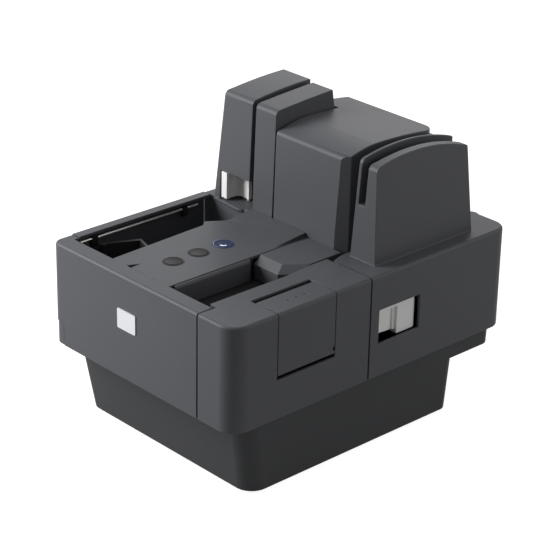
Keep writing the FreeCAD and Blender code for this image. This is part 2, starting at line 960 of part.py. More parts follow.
# Driven rollers
def tyre_and_shaft(x, y, radius, bottom):
    shaft = rod(x, y, shaft_radius, bottom, roller_top)
    return [rod(x, y, radius, roller_bottom, roller_top), shaft]


def pulley(x, y, radius, bottom, height, bore):
    body = rod(x, y, radius, bottom, bottom + height)
    flange = radius + pulley_rim
    rims = [rod(x, y, flange, z, z + pulley_rim_thick) for z in (bottom, bottom + height - pulley_rim_thick)]
    return fuse([body] + rims).cut(rod(x, y, bore, 0, far_top))


def drive_roller(name):
    x, y = roller_places()[name]
    solids = tyre_and_shaft(x, y, drive_radius, pulley_bottom)
    solids.append(pulley(x, y, pulley_radius, pulley_bottom, pulley_tall, shaft_radius / 2))
    return fuse(solids)


def drive_motor():
    bottom = base_top + frame_plate
    body = rod(turn_centre_x, motor_y, motor_radius, bottom, motor_top)
    return body.fuse(rod(turn_centre_x, motor_y, motor_shaft, bottom, pulley_bottom + pulley_tall))


def motor_pulley():
    return pulley(turn_centre_x, motor_y, pulley_radius, pulley_bottom, pulley_tall,
                  motor_shaft + running_fit)


def timing_belts():
    places = roller_places()
    centres = [(turn_centre_x, motor_y), places["drive_roller_1"], places["drive_roller_2"],
               places["drive_roller_3"]]
    low = pulley_bottom + pulley_rim_thick + belt_gap
    high = pulley_bottom + pulley_tall - pulley_rim_thick - belt_gap
    drive = belt(centres, pulley_radius, low, high)
    low = feed_belt_bottom + pulley_rim_thick + belt_gap
    high = feed_belt_bottom + feed_belt_tall - pulley_rim_thick - belt_gap
    feed = belt([(pick_x, pick_y), (feed_x, feed_y)], feed_pulley_radius, low, high)
    return [drive, feed]


# Feed section on the right of the hopper
def feed_bracket():
    right = bracket_right
    front = pick_y - bracket_margin
    low = base_top + frame_plate
    plate = box(bracket_left, right + leg_thick, front, bracket_rear, bracket_top - bracket_plate,
                bracket_top)
    leg = box(right, right + leg_thick, front, leg_rear, low, bracket_top)
    cradle = box(right, cartridge_right, cartridge_front, cartridge_rear,
                 cartridge_bottom - cradle_plate, cartridge_bottom)
    outer_leg = cartridge_right - cradle_leg_inset
    prop = box(outer_leg - cradle_leg, outer_leg, cartridge_front, cartridge_rear, low, cartridge_bottom)
    bracket = fuse([plate, leg, cradle, prop])
    for x, y in ((feed_x, feed_y), (pick_x, pick_y)):
        bracket = bracket.cut(rod(x, y, shaft_radius + running_fit, 0, far_top))
    return bracket


def feed_roller():
    solids = tyre_and_shaft(feed_x, feed_y, drive_radius, gear_bottom)
    solids.append(pulley(feed_x, feed_y, feed_pulley_radius, feed_belt_bottom, feed_belt_tall,
                         shaft_radius / 2))
    return fuse(solids)


def feed_gear():
    wheel = gear(feed_x, feed_y, gear_teeth, gear_bottom, gear_bottom + gear_tall, 0)
    return wheel.cut(rod(feed_x, feed_y, shaft_radius, 0, far_top))


def pick_roller():
    solids = tyre_and_shaft(pick_x, pick_y, pick_radius, feed_belt_bottom)
    solids.append(pulley(pick_x, pick_y, feed_pulley_radius, feed_belt_bottom, feed_belt_tall,
                         shaft_radius / 2))
    return fuse(solids)


def retard_roller():
    return fuse(tyre_and_shaft(retard_x, feed_y, drive_radius, path_floor_bottom - bearing_drop))


def feed_motor():
    bottom = base_top + frame_plate
    body = rod(feed_motor_x, feed_motor_y, feed_motor_radius, bottom, feed_motor_top)
    return body.fuse(rod(feed_motor_x, feed_motor_y, motor_shaft, bottom, gear_bottom + gear_tall))


# The pinion's teeth stand in the gaps of the gear: a tooth of the gear points at the motor.
def feed_pinion():
    tooth = 360 / gear_teeth
    offset = (feed_motor_angle / tooth - round(feed_motor_angle / tooth)) * tooth
    turn = feed_motor_angle + 180 + 180 / pinion_teeth + offset * gear_teeth / pinion_teeth
    wheel = gear(feed_motor_x, feed_motor_y, pinion_teeth, gear_bottom, gear_bottom + gear_tall, turn)
    return wheel.cut(rod(feed_motor_x, feed_motor_y, motor_shaft + running_fit, 0, far_top))


def ink_cartridge():
    body = box(cartridge_left, cartridge_right, cartridge_front, cartridge_rear, cartridge_bottom,
               cartridge_top)
    middle = (cartridge_left + cartridge_right) / 2
    tab = box(middle - cartridge_tab, middle + cartridge_tab, cartridge_front + cartridge_tab,
              cartridge_rear - cartridge_tab, cartridge_top, cartridge_top + cartridge_tab_tall)
    return body.fuse(tab)


# Upper covers
def front_cover():
    outline = [(far_left, far_front), (front_cover_right, far_front), (front_cover_right, front_rim_edge),
               (left_rim_edge, front_rim_edge), (left_rim_edge, front_cover_rear),
               (far_left, front_cover_rear)]
    cover = body_shell(deck_height).common(prism(outline, 0, far_top))
    notch = box(far_left, body_left + corner_tab_width + fine_seam, far_front, front_cover_rear, 0,
                cover_bottom + corner_tab_height + fine_seam)
    return cover.cut(notch)


def left_side_cover():
    front = front_cover_rear + fine_seam
    region = box(far_left, left_rim_edge, front, left_seam_place, 0, far_top)
    cover = body_shell(deck_height + left_rim_rise).common(region)
    tab = body_block(fine_seam, cover_bottom, cover_bottom + corner_tab_height)
    tab = tab.cut(body_block(skin, 0, far_top))
    tab = tab.common(box(far_left, body_left + corner_tab_width, far_front, front, 0, far_top))
    return cover.fuse(tab)


def cover_edge(offset):
    corner = cover_edge_x + offset
    return [(corner, cover_edge_front), (corner, cover_edge_bend_y),
            (cover_edge_near_x + offset, cover_edge_near_y), (cover_edge_near_x + offset, right_seam_place)]


def right_front_cover():
    outline = [(front_cover_right + seam, far_front), (far_right, far_front),
               (far_right, right_seam_place)] + cover_edge(0)[::-1]
    outline.append((front_cover_right + seam, cover_edge_front))
    cover = body_shell(deck_height).common(prism(outline, 0, far_top))
    lip = prism(cover_edge(0) + cover_edge(skin)[::-1], path_floor_top + seat, deck_bottom)
    screen = box(cover_edge_near_x + feed_proud + drive_radius * 2 + skin, body_right - skin,
                 right_seam_place - skin, right_seam_place, base_top + frame_plate, deck_bottom)
    cover = cover.fuse([lip, screen]).removeSplitter()
    opening = box(flap_inner - finger_slot, far_right, flap_front - flap_gap, flap_rear + flap_gap,
                  flap_bottom - flap_lower_gap, far_top)
    cover = cover.cut(opening)
    for x, y, radius in ((feed_x, feed_y, drive_radius), (pick_x, pick_y, pick_radius)):
        room = radius + roller_window
        cover = cover.cut(rod(x, y, room, roller_bottom - roller_window, roller_top + roller_window / 2))
    hinge = rod_along_y(body_right - flap_hinge_inset, flap_bottom + flap_hinge_rise, flap_pin + running_fit,
                        flap_front - flap_pin_length - seat, flap_rear + flap_pin_length + seat)
    return cover.cut(hinge)


def cartridge_cover():
    region = box(flap_inner, far_right, flap_front, flap_rear, flap_bottom, far_top)
    cover = body_shell(deck_height).common(region)
    hinge = rod_along_y(body_right - flap_hinge_inset, flap_bottom + flap_hinge_rise, flap_pin,
                        flap_front - flap_pin_length, flap_rear + flap_pin_length)
    cover = cover.fuse(hinge)
    notch_low = flap_bottom + flap_notch_rise
    cover = cover.cut(box(body_right - skin - seat, far_right, flap_rear - flap_notch, far_rear, notch_low,
                          notch_low + flap_notch_tall))
    middle = (flap_front + flap_rear) / 2 + dimple_shift
    for step in (-1, 0, 1):
        place = middle + step * dimple_pitch
        cover = cover.cut(rod(dimple_x, place, dimple_radius, deck_height - dimple_deep, far_top))
    return cover


# Swinging units: each is a side wall, a deck with a tower, and a rear corner on a hinge barrel
def hinge_barrel(side):
    barrel = rod(side * hinge_x, hinge_y, barrel_radius, cover_bottom, deck_height)
    return barrel, rod(side * hinge_x, hinge_y, pin_radius + running_fit, 0, base_top + pin_height + seat)


def hinge_pins():
    return [rod(side * hinge_x, hinge_y, pin_radius, base_top, base_top + pin_height) for side in (-1, 1)]


def arched_block(x0, x1, front, rear, front_lean, rear_lean, bottom, front_top, crown, rear_top):
    crown_y, crown_z = crown
    front_low = front - front_lean * (deck_height - bottom)
    rear_low = rear + rear_lean * (deck_height - bottom)
    a = Vector(x0, front_low, bottom)
    b = Vector(x0, front + front_lean * (front_top - deck_height), front_top)
    c = Vector(x0, rear - rear_lean * (rear_top - deck_height), rear_top)
    d = Vector(x0, rear_low, bottom)
    arch = Part.Arc(b, Vector(x0, crown_y, crown_z), c).toShape()
    wire = Part.Wire([Part.makeLine(a, b), arch, Part.makeLine(c, d), Part.makeLine(d, a)])
    return Part.Face(wire).extrude(Vector(x1 - x0, 0, 0))


# A block whose front edge at the top is rounded. The radius shrinks with the block's inset.
def rounded_top(block, top, radius, inset):
    return fillet_where(block, max(radius - inset, inner_corner_floor),
                        lambda b: lies_at(top, b.ZMin, b.ZMax))


def leaning_slab(left, left_lean, right, right_lean, bottom, top):
    outline = [(left + left_lean * (z - deck_height), z) for z in (bottom, top)]
    outline += [(right + right_lean * (z - deck_height), z) for z in (top, bottom)]
    return side_prism(outline, far_front, far_rear)


def right_tower(inset, bottom):
    rises = (inner_wall_rise, 0)
    slot_middle = slot_left_at_bottom - (slot_bottom - deck_height) * right_tower_left_lean + slot_width / 2
    sides = ((right_tower_left + inset, slot_middle, right_tower_left_lean, right_tower_left_lean),
             (slot_middle, right_tower_right - inset, right_tower_left_lean, -right_tower_right_lean))
    halves = []
    for rise, (left, right, left_lean, right_lean) in zip(rises, sides):
        block = arched_block(right_tower_left - overrun, right_tower_right + overrun,
                             right_tower_front + inset, right_tower_rear - inset,
                             right_tower_front_lean, right_tower_rear_lean, bottom,
                             right_tower_front_top + rise - inset,
                             (right_tower_crown_y, right_tower_crown + rise - inset),
                             right_tower_rear_top + rise - inset)
        block = rounded_top(block, right_tower_front_top + rise - inset, right_tower_round, inset)
        slab = leaning_slab(left, left_lean, right, right_lean, bottom - overrun, far_top)
        halves.append(block.common(slab))
    return halves[0].fuse(halves[1])


def card_slot(grow):
    left = slot_left_at_bottom - (slot_bottom - deck_height) * right_tower_left_lean
    return leaning_slab(left - grow, right_tower_left_lean, left + slot_width + grow, right_tower_left_lean,
                        slot_bottom - grow, far_top)


def right_path_edge():
    return [(right_inner_front, right_unit_front), (flare_start_x, flare_start_y), (flare_x, flare_y),
            (outer_right, flare_end_y), (outer_right, guide_rear)]


def right_unit_region():
    outline = right_path_edge()
    outline += [(right_inner, guide_rear), (right_inner, hinge_y), (hinge_x, hinge_y), (hinge_x, far_rear),
                (far_right, far_rear), (far_right, right_unit_front)]
    return prism(outline, 0, far_top)


def sensor_room():
    return box(outer_right - seat, right_tower_left + right_sensor_deep, sensor_front - seat,
               sensor_rear + seat, path_floor_top, sensor_top + seat)


def right_unit_cover():
    cover = body_shell(deck_height).common(right_unit_region())
    cavity = right_tower(skin, deck_bottom - overrun).cut(card_slot(slot_wall))
    tower = right_tower(0, deck_bottom).cut(card_slot(0))
    front_wall = box(right_inner + unit_web + seat, body_right - skin, right_unit_front,
                     right_unit_front + skin, unit_floor_top + seat, deck_bottom)
    barrel, bore = hinge_barrel(1)
    cover = cover.fuse([tower, front_wall, barrel]).cut(cavity).cut(bore)
    window = box(body_right - skin - seat, far_right, window_front, window_rear, window_bottom, window_top)
    head = box(head_slot_left(), far_right, card_head_front, card_head_rear, card_head_bottom,
               card_head_top).common(card_slot(slot_wall))
    return cover.cut([window, sensor_room(), head]).removeSplitter()


def head_slot_left():
    lean = (card_head_bottom - slot_bottom) * right_tower_left_lean
    return slot_left_at_bottom + slot_width / 2 + lean


def card_reader_head():
    grown = card_slot(slot_wall + card_head_deep)
    slot_face = card_slot(-card_head_proud)
    block = box(head_slot_left(), far_right, card_head_front, card_head_rear, card_head_bottom,
                card_head_top)
    return block.common(grown).cut(slot_face)


def right_unit_frame():
    floor_block = box(right_inner, body_right - skin - seat, right_unit_front + skin + seat,
                      hinge_y - barrel_radius - seat, unit_floor_bottom, unit_floor_top)
    web_front = right_unit_front + skin + seat
    web = box(right_inner - unit_web, right_inner, web_front, guide_rear, unit_floor_bottom, deck_bottom)
    edge = [(x, y) for x, y in right_path_edge() if y > right_unit_front + skin]
    first = (flare_start_x, web_front)
    strip = [(x, y) for x, y in edge if y > web_front]
    guide = [first] + strip + [(right_inner, guide_rear), (right_inner, web_front)]
    wall = prism(guide, path_floor_top + seat, deck_bottom)
    frame = fuse([floor_block, web, wall])
    gap = pinch_radius + roller_window
    room = rod(right_pinch_x, drive_y, gap, roller_bottom - pinch_arm_gap, roller_top + pinch_arm_gap)
    frame = frame.cut([room, sensor_room()])
    arm_low = roller_bottom - pinch_arm_gap - pinch_arm_thick
    arm = box(right_inner, right_pinch_x + pinch_arm, drive_y - pinch_arm, drive_y + pinch_arm,
              arm_low, arm_low + pinch_arm_thick)
    pin = rod(right_pinch_x, drive_y, stub_radius, arm_low, roller_top)
    bridge = box(right_inner, sensor_back(), sensor_rear + seat, sensor_rear + seat + unit_web,
                 unit_floor_top, deck_bottom)
    return fuse([frame, arm, pin, bridge, lever_post()]).cut(lever_pin_bore(running_fit))


def sensor_back():
    return right_tower_left + right_sensor_deep - seat


def right_image_sensor():
    face = outer_right + sensor_inset
    return box(face, sensor_back(), sensor_front, sensor_rear, path_floor_top + seat, sensor_top)


def pinch(x):
    wheel = rod(x, drive_y, pinch_radius, roller_bottom, roller_top)
    return wheel.cut(rod(x, drive_y, stub_radius + running_fit, 0, far_top))


# Release lever behind the window in the right side
def lever_pivot():
    return (body_right - lever_face_inset - lever_pivot_deep, lever_rear - lever_pivot_inset)


def lever_post():
    x, y = lever_pivot()
    half = lever_pivot_inset + lever_pin
    return box(x - half, x + half, y - half, y + half, unit_floor_top, lever_bottom - lever_plate_gap)


def lever_pin_bore(fit):
    x, y = lever_pivot()
    return rod(x, y, lever_pin + fit, lever_bottom - lever_plate_gap - lever_pin_length - fit, lever_bottom)


def right_release_lever():
    face = body_right - lever_face_inset
    back = face - lever_deep
    low_face = face - lever_grip_deep
    grip_step = lever_grip_rear - lever_step_width
    lever = box(back, face, lever_front, lever_rear, lever_bottom, lever_top)
    low = window_bottom + lever_grip_rise
    high = window_top - lever_grip_drop
    grips = [box(low_face, far_right, lever_grip_front, grip_step, low, high),
             box(low_face + lever_step, far_right, grip_step, lever_grip_rear, low, high)]
    nose = box(far_left, far_right, far_front, lever_grip_front, 0, window_bottom + lever_nose_rise)
    grip = box(far_left, far_right, far_front, lever_grip_rear, 0, low)
    lever = lever.cut(grips + [nose, grip])
    return lever.fuse(rod(*lever_pivot(), lever_pin, lever_bottom - lever_plate_gap - lever_pin_length,
                          lever_bottom))


# Left unit
def left_unit_region():
    middle = Vector((lip_bulge_x + lip_round_x) / 2 + seam, (lip_bulge_y + lip_end_y) / 2 - seam, 0)
    arc_corner = Part.Arc(Vector(lip_bulge_x, lip_bulge_y, 0), middle,
                          Vector(lip_round_x, lip_end_y, 0)).toShape()
    points = [(lip_round_x, lip_end_y), (left_tower_right, lip_end_y),
              (left_tower_right, rear_tower_front_left - fine_seam),
              (left_inner_rear, rear_tower_front_left - fine_seam), (left_inner_rear, step_y),
              (-right_inner, step_y), (-right_inner, hinge_y), (-hinge_x, hinge_y), (-hinge_x, far_rear),
              (far_left, far_rear), (far_left, left_unit_front), (left_tower_left, left_unit_front),
              (recess_left, left_seam_place + seat), (lip_bulge_x, lip_bulge_y)]
    edges = [arc_corner]
    for start, end in zip(points, points[1:]):
        edges.append(Part.makeLine(Vector(*start, 0), Vector(*end, 0)))
    return Part.Face(Part.Wire(edges)).extrude(Vector(0, 0, far_top))


def left_tower(inset, bottom):
    block = arched_block(left_tower_left - overrun, left_tower_right - inset, tower_front + inset,
                         left_tower_rear - inset, left_tower_front_lean, 0, bottom,
                         left_tower_front_top - inset, (left_tower_middle_y, left_tower_middle_top - inset),
                         left_tower_rear_top - inset)
    block = rounded_top(block, left_tower_front_top - inset, left_tower_round, inset)
    slab = leaning_slab(left_tower_left + inset, left_tower_left_lean, left_tower_right - inset, 0,
                        bottom - overrun, far_top)
    return block.common(slab)


def lever_recess(grow):
    return box(recess_left - grow, left_tower_right + overrun, far_front, recess_back + grow,
               deck_height - grow, recess_top + grow)


def left_unit_cover():
    cover = body_shell(deck_height).common(left_unit_region())
    tower = left_tower(0, deck_bottom).cut(lever_recess(0))
    cavity = left_tower(skin, deck_bottom - overrun).cut(lever_recess(skin))
    wall_right = outer_left - unit_web - seat * 2
    front_wall = box(body_left + skin, wall_right, left_unit_front + seat, left_unit_front + seat + skin,
                     unit_floor_top + seat, deck_bottom)
    barrel, bore = hinge_barrel(-1)
    cover = cover.fuse([tower, front_wall, barrel]).cut(cavity).cut(bore)
    cover = cover.cut(left_lever_pivot(running_fit))
    return cover.removeSplitter()


def left_unit_frame():
    left = body_left + skin + seat
    right = outer_left - unit_web - seat
    front = left_unit_front + seat * 2 + skin
    rear = hinge_y - barrel_radius - seat
    floor_plate = box(left, right, front, rear_tower_front_left, unit_floor_bottom, unit_floor_top)
    floor_rear = box(left, left_inner_rear - seat, rear_tower_front_left, step_y, unit_floor_bottom,
                     unit_floor_top)
    floor_end = box(left, -right_inner, step_y, rear, unit_floor_bottom, unit_floor_top)
    web = box(right - unit_web, right, front, guide_rear, unit_floor_bottom, deck_bottom)
    guide = box(right, outer_left, front, guide_rear, path_floor_top + seat, deck_bottom)
    frame = fuse([floor_plate, floor_rear, floor_end, web, guide])
    gap = pinch_radius + roller_window
    frame = frame.cut(rod(left_pinch_x, drive_y, gap, roller_bottom - pinch_arm_gap,
                          roller_top + pinch_arm_gap))
    arm_low = roller_bottom - pinch_arm_gap - pinch_arm_thick
    arm = box(left_pinch_x - pinch_arm, right - unit_web, drive_y - pinch_arm, drive_y + pinch_arm,
              arm_low, arm_low + pinch_arm_thick)
    pin = rod(left_pinch_x, drive_y, stub_radius, arm_low, roller_top)
    return fuse([frame, arm, pin])


def left_lever_pivot(fit):
    low = left_lever_bottom - left_lever_pin_length - fit
    high = recess_top - left_lever_gap + left_lever_pin_length + fit
    return rod(left_pivot_x, left_pivot_y, left_lever_pin + fit, low, high)


def left_release_lever():
    start = Vector(handle_right, hollow_side_y, left_lever_bottom)
    end = Vector(hollow_x, hollow_y, left_lever_bottom)
    diagonal = hollow_round / math.sqrt(2)
    middle = Vector(hollow_x - diagonal, hollow_side_y + (hollow_y - hollow_side_y) / math.sqrt(2),
                    left_lever_bottom)
    hollow = Part.Arc(start, middle, end).toShape()
    points = [(hollow_x, hollow_y), (left_lever_right, hollow_end_y), (left_lever_right, left_lever_back),
              (handle_left, left_lever_back), (handle_left, handle_front), (handle_right, handle_front)]
    for ridge in range(ridge_count):
        place = handle_front + ridge_start + ridge * ridge_pitch
        points += [(handle_right, place - ridge_half), (handle_right + ridge_proud, place),
                   (handle_right, place + ridge_half)]
    points.append((handle_right, hollow_side_y))
    edges = [hollow]
    for first, last in zip(points, points[1:]):
        edges.append(Part.makeLine(Vector(*first, left_lever_bottom), Vector(*last, left_lever_bottom)))
    height = recess_top - left_lever_gap - left_lever_bottom
    lever = Part.Face(Part.Wire(edges)).extrude(Vector(0, 0, height))
    return lever.fuse(left_lever_pivot(0))


# Centre
def top_line(x, points, bottom):
    (y0, z0), (y1, z1), (y2, z2), (y3, z3), (y4, z4) = points
    first = Part.Arc(Vector(x, y0, z0), Vector(x, y1, z1), Vector(x, y2, z2)).toShape()
    second = Part.Arc(Vector(x, y2, z2), Vector(x, y3, z3), Vector(x, y4, z4)).toShape()
    front = tower_front + tower_lean * (bottom - deck_height)
    corners = [Vector(x, y4, z4), Vector(x, y4, bottom), Vector(x, front, bottom), Vector(x, y0, z0)]
    edges = [first, second] + [Part.makeLine(a, b) for a, b in zip(corners, corners[1:])]
    return Part.Face(Part.Wire(edges))


def tower_profile(inset, x0, x1, bottom):
    points = [(tower_front + tower_lean * (tower_front_top - deck_height) + inset, tower_front_top - inset),
              (tower_shoulder_y + inset, tower_shoulder - inset), (tower_crown_y, tower_crown - inset),
              (tower_back_y, tower_back_top - inset), (tower_rear_y, tower_rear_top - inset)]
    block = top_line(x0, points, bottom).extrude(Vector(x1 - x0, 0, 0))
    block = rounded_top(block, tower_front_top - inset, tower_round, inset)
    front = box(x0, x1, far_front, tower_front + inset, 0, far_top)
    return block.cut(front)


def facet(inset):
    run_x = path_right - facet_x
    run_y = facet_y - tower_front
    length = math.hypot(run_x, run_y)
    shift = inset / length
    start = (facet_x - run_y * shift, tower_front + run_x * shift)
    end = (path_right - run_y * shift, facet_y + run_x * shift)
    before = (start[0] - run_x, start[1] - run_y)
    after = (end[0] + run_x, end[1] + run_y)
    return prism([before, (after[0], before[1]), after], 0, far_top)


def roller_room(name, radius):
    x, y = roller_places()[name]
    return rod(x, y, radius + roller_window, roller_bottom - roller_window, roller_top + roller_window)


def sensor_box(inset):
    face = path_right - sensor_inset
    return box(face - sensor_deep - inset, path_right + overrun, sensor_front - inset, sensor_rear + inset,
               path_floor_top, sensor_top + inset)


def head_box(inset):
    face = path_right - head_inset
    return box(face - head_deep - inset, path_right + overrun, head_front - inset, head_rear + inset,
               head_bottom - inset, head_top + inset)


# What the rounded rear right corner leaves out
def tower_corner_room():
    x = path_right - tower_corner
    y = tower_rear_y - tower_corner
    return box(x, path_right + overrun, y, far_rear, 0, far_top).cut(rod(x, y, tower_corner, 0, far_top))


def centre_tower_cover():
    cover = tower_profile(0, tower_left, path_right, path_floor_top).cut(facet(0))
    under = box(tower_left, path_right, tower_cavity_rear, far_rear, 0, turn_top)
    plateau = tower_profile(0, plateau_left, tower_left, path_floor_top)
    plateau = plateau.common(box(far_left, far_right, strip_foot_y + fine_seam, far_rear, turn_top, far_top))
    cover = cover.cut([under, tower_corner_room()]).fuse(plateau).removeSplitter()
    cavity = tower_profile(skin, tower_left + skin, path_right - skin, path_floor_top - overrun)
    cavity = cavity.common(box(far_left, far_right, far_front, tower_cavity_rear - skin, 0, far_top))
    cover = cover.cut(cavity.cut(facet(skin)))
    return cover.cut([sensor_box(0), head_box(0), roller_room("drive_roller_1", drive_radius)])


def centre_image_sensor():
    face = path_right - sensor_inset
    return box(face - sensor_deep, face, sensor_front, sensor_rear, path_floor_top, sensor_top)


def magnetic_head():
    face = path_right - head_inset
    head = box(face - head_deep, face, head_front, head_rear, head_bottom, head_top)
    foot = box(face - head_deep, face - head_deep / 2, head_front, head_rear, path_floor_top, head_bottom)
    return head.fuse(foot)


def strip_profile(inset, x0, x1, bottom):
    front = tower_front + inset + tower_lean * (strip_front_top - deck_height)
    a = Vector(x0, tower_front + inset + tower_lean * (bottom - deck_height), bottom)
    b = Vector(x0, front, strip_front_top - inset)
    c = Vector(x0, strip_rear_y - inset, strip_rear_top - inset)
    d = Vector(x0, strip_foot_y - inset, turn_top)
    e = Vector(x0, strip_foot_y - inset, bottom)
    arch = Part.Arc(b, Vector(x0, strip_middle_y, strip_middle_top - inset), c).toShape()
    sides = [Part.makeLine(c, d), Part.makeLine(d, e), Part.makeLine(e, a), Part.makeLine(a, b)]
    block = Part.Face(Part.Wire([arch] + sides)).extrude(Vector(x1 - x0, 0, 0))
    return rounded_top(block, strip_front_top - inset, strip_round, inset)


def centre_strip_cover():
    cover = strip_profile(0, path_left, strip_right, path_floor_top)
    cover = cover.cut(box(far_left, far_right, tower_cavity_rear, far_rear, 0, turn_top))
    cavity = strip_profile(skin, path_left + skin, strip_right - skin, path_floor_top - overrun)
    cavity = cavity.common(box(far_left, far_right, far_front, tower_cavity_rear - skin, 0, far_top))
    return cover.cut([cavity, roller_room("drive_roller_3", drive_radius)])


def turn_ring(inner, outer, top):
    ring = rod(turn_centre_x, turn_centre_y, outer, path_floor_top, top)
    return ring.cut(rod(turn_centre_x, turn_centre_y, inner, 0, far_top))


def turn_guide_inner():
    inner = turn_radius - guide_wall
    front = tower_cavity_rear
    top = turn_top - rear_wall - seat
    guide = turn_ring(inner, turn_radius, top).common(box(far_left, far_right, turn_centre_y, far_rear,
                                                                0, far_top))
    for x in (path_left, path_right - guide_wall):
        guide = guide.fuse(box(x, x + guide_wall, front, turn_centre_y, path_floor_top, top))
    guide = guide.fuse(box(path_left, path_right, front, front + guide_wall, path_floor_top, top))
    return guide.removeSplitter().cut(roller_room("drive_roller_2", drive_radius))


def turn_guide_outer():
    inner = turn_radius + path_width
    outer = inner + guide_wall
    guide = turn_ring(inner, outer, turn_top - rear_wall - seat)
    reach = -frame_left
    start_y = turn_centre_y + math.sqrt(outer ** 2 - (turn_centre_x + reach) ** 2)
    rear_half = box(far_left, far_right, turn_centre_y, far_rear, 0, far_top)
    left_front = box(far_left, turn_centre_x, far_front, start_y, 0, far_top)
    return guide.common(rear_half).cut(left_front)


# The rear tower encloses the turn; the rear deck and rear face close the body between the hinges
def rear_cover():
    radii = (inner_corner_floor, inner_corner_floor, rear_tower_radius, rear_tower_radius)
    front = rear_tower_front_right
    low = path_floor_top
    tower = rounded_block(rear_tower_left, rear_tower_right, front, rear_tower_rear, low, turn_top, radii)
    inner_radii = (inner_corner_floor, inner_corner_floor, rear_tower_radius - rear_wall,
                   rear_tower_radius - rear_wall)
    cavity = rounded_block(rear_tower_left + rear_wall, rear_tower_right - rear_wall, front - overrun,
                           rear_tower_rear - rear_wall, low - overrun, turn_top - rear_wall, inner_radii)
    corner = box(far_left, turn_centre_x - turn_radius, far_front, rear_tower_front_left, 0, far_top)
    middle = box(far_left, path_right, far_front, tower_cavity_rear + seam, 0, far_top)
    tower = tower.cut([cavity, corner, middle])
    strip = box(-fixed_rear_half, fixed_rear_half, rear_tower_rear, far_rear, 0, far_top)
    cover = body_shell(deck_height).common(strip).fuse(tower).removeSplitter()
    half = port_fit + inlet_width / 2
    ports = [box(inlet_place - half, inlet_place + half, body_rear - skin, far_rear,
                 port_height - port_fit, port_height + inlet_tall + port_fit)]
    half = port_fit + usb_width / 2
    ports.append(box(usb_place - half, usb_place + half, body_rear - skin, far_rear,
                     port_height - port_fit, port_height + usb_tall + port_fit))
    for x, z in rear_screw_places():
        ports.append(rod_along_y(x, z, screw_shank + running_fit, body_rear - skin, far_rear))
        ports.append(rod_along_y(x, z, screw_head + running_fit, body_rear - screw_head_deep, far_rear))
    return cover.cut(ports)


def rear_screw_places():
    return [(x, z) for x in (-rear_screw_x, rear_screw_x) for z in (rear_screw_low, rear_screw_high)]


def cover_screws():
    screws = []
    for x, z in rear_screw_places():
        head = rod_along_y(x, z, screw_head, body_rear - screw_head_deep, body_rear)
        shank = rod_along_y(x, z, screw_shank, body_rear - screw_length, body_rear - screw_head_deep)
        socket = rod_along_y(x, z, screw_shank / 2, body_rear - screw_head_deep / 2, far_rear)
        screws.append(head.fuse(shank).removeSplitter().cut(socket))
    return screws


def dc_inlet():
    front = body_rear - inlet_deep
    body = box(inlet_place - inlet_width / 2, inlet_place + inlet_width / 2, front, body_rear,
               port_height, port_height + inlet_tall)
    middle = port_height + inlet_tall / 2
    body = body.cut(rod_along_y(inlet_place, middle, inlet_hole, body_rear - inlet_hole_deep, far_rear))
    pin = rod_along_y(inlet_place, middle, inlet_pin, body_rear - inlet_hole_deep, body_rear - inlet_pin)
    foot = box(inlet_place - inlet_width / 2, inlet_place + inlet_width / 2, front, front + inlet_pin * 2,
               base_top + frame_plate, port_height)
    return body.fuse([pin, foot])


def usb_port():
    front = body_rear - usb_deep
    body = box(usb_place - usb_width / 2, usb_place + usb_width / 2, front, body_rear, port_height,
               port_height + usb_tall)
    middle = port_height + usb_tall / 2
    hole = box(usb_place - usb_hole_width / 2, usb_place + usb_hole_width / 2, body_rear - usb_hole_deep,
               far_rear, middle - usb_hole_tall / 2, middle + usb_hole_tall / 2)
    tongue = box(usb_place - usb_tongue, usb_place + usb_tongue, body_rear - usb_hole_deep,
                 body_rear - usb_tongue, middle - usb_tongue / 2, middle + usb_tongue / 2)
    foot = box(usb_place - usb_width / 2, usb_place + usb_width / 2, front, front + usb_tongue,
               base_top + frame_plate, port_height)
    return body.cut(hole).fuse([tongue, foot])


# Button panel
def button_places():
    return [button_y + step * button_pitch for step in (-1, 0, 1)]


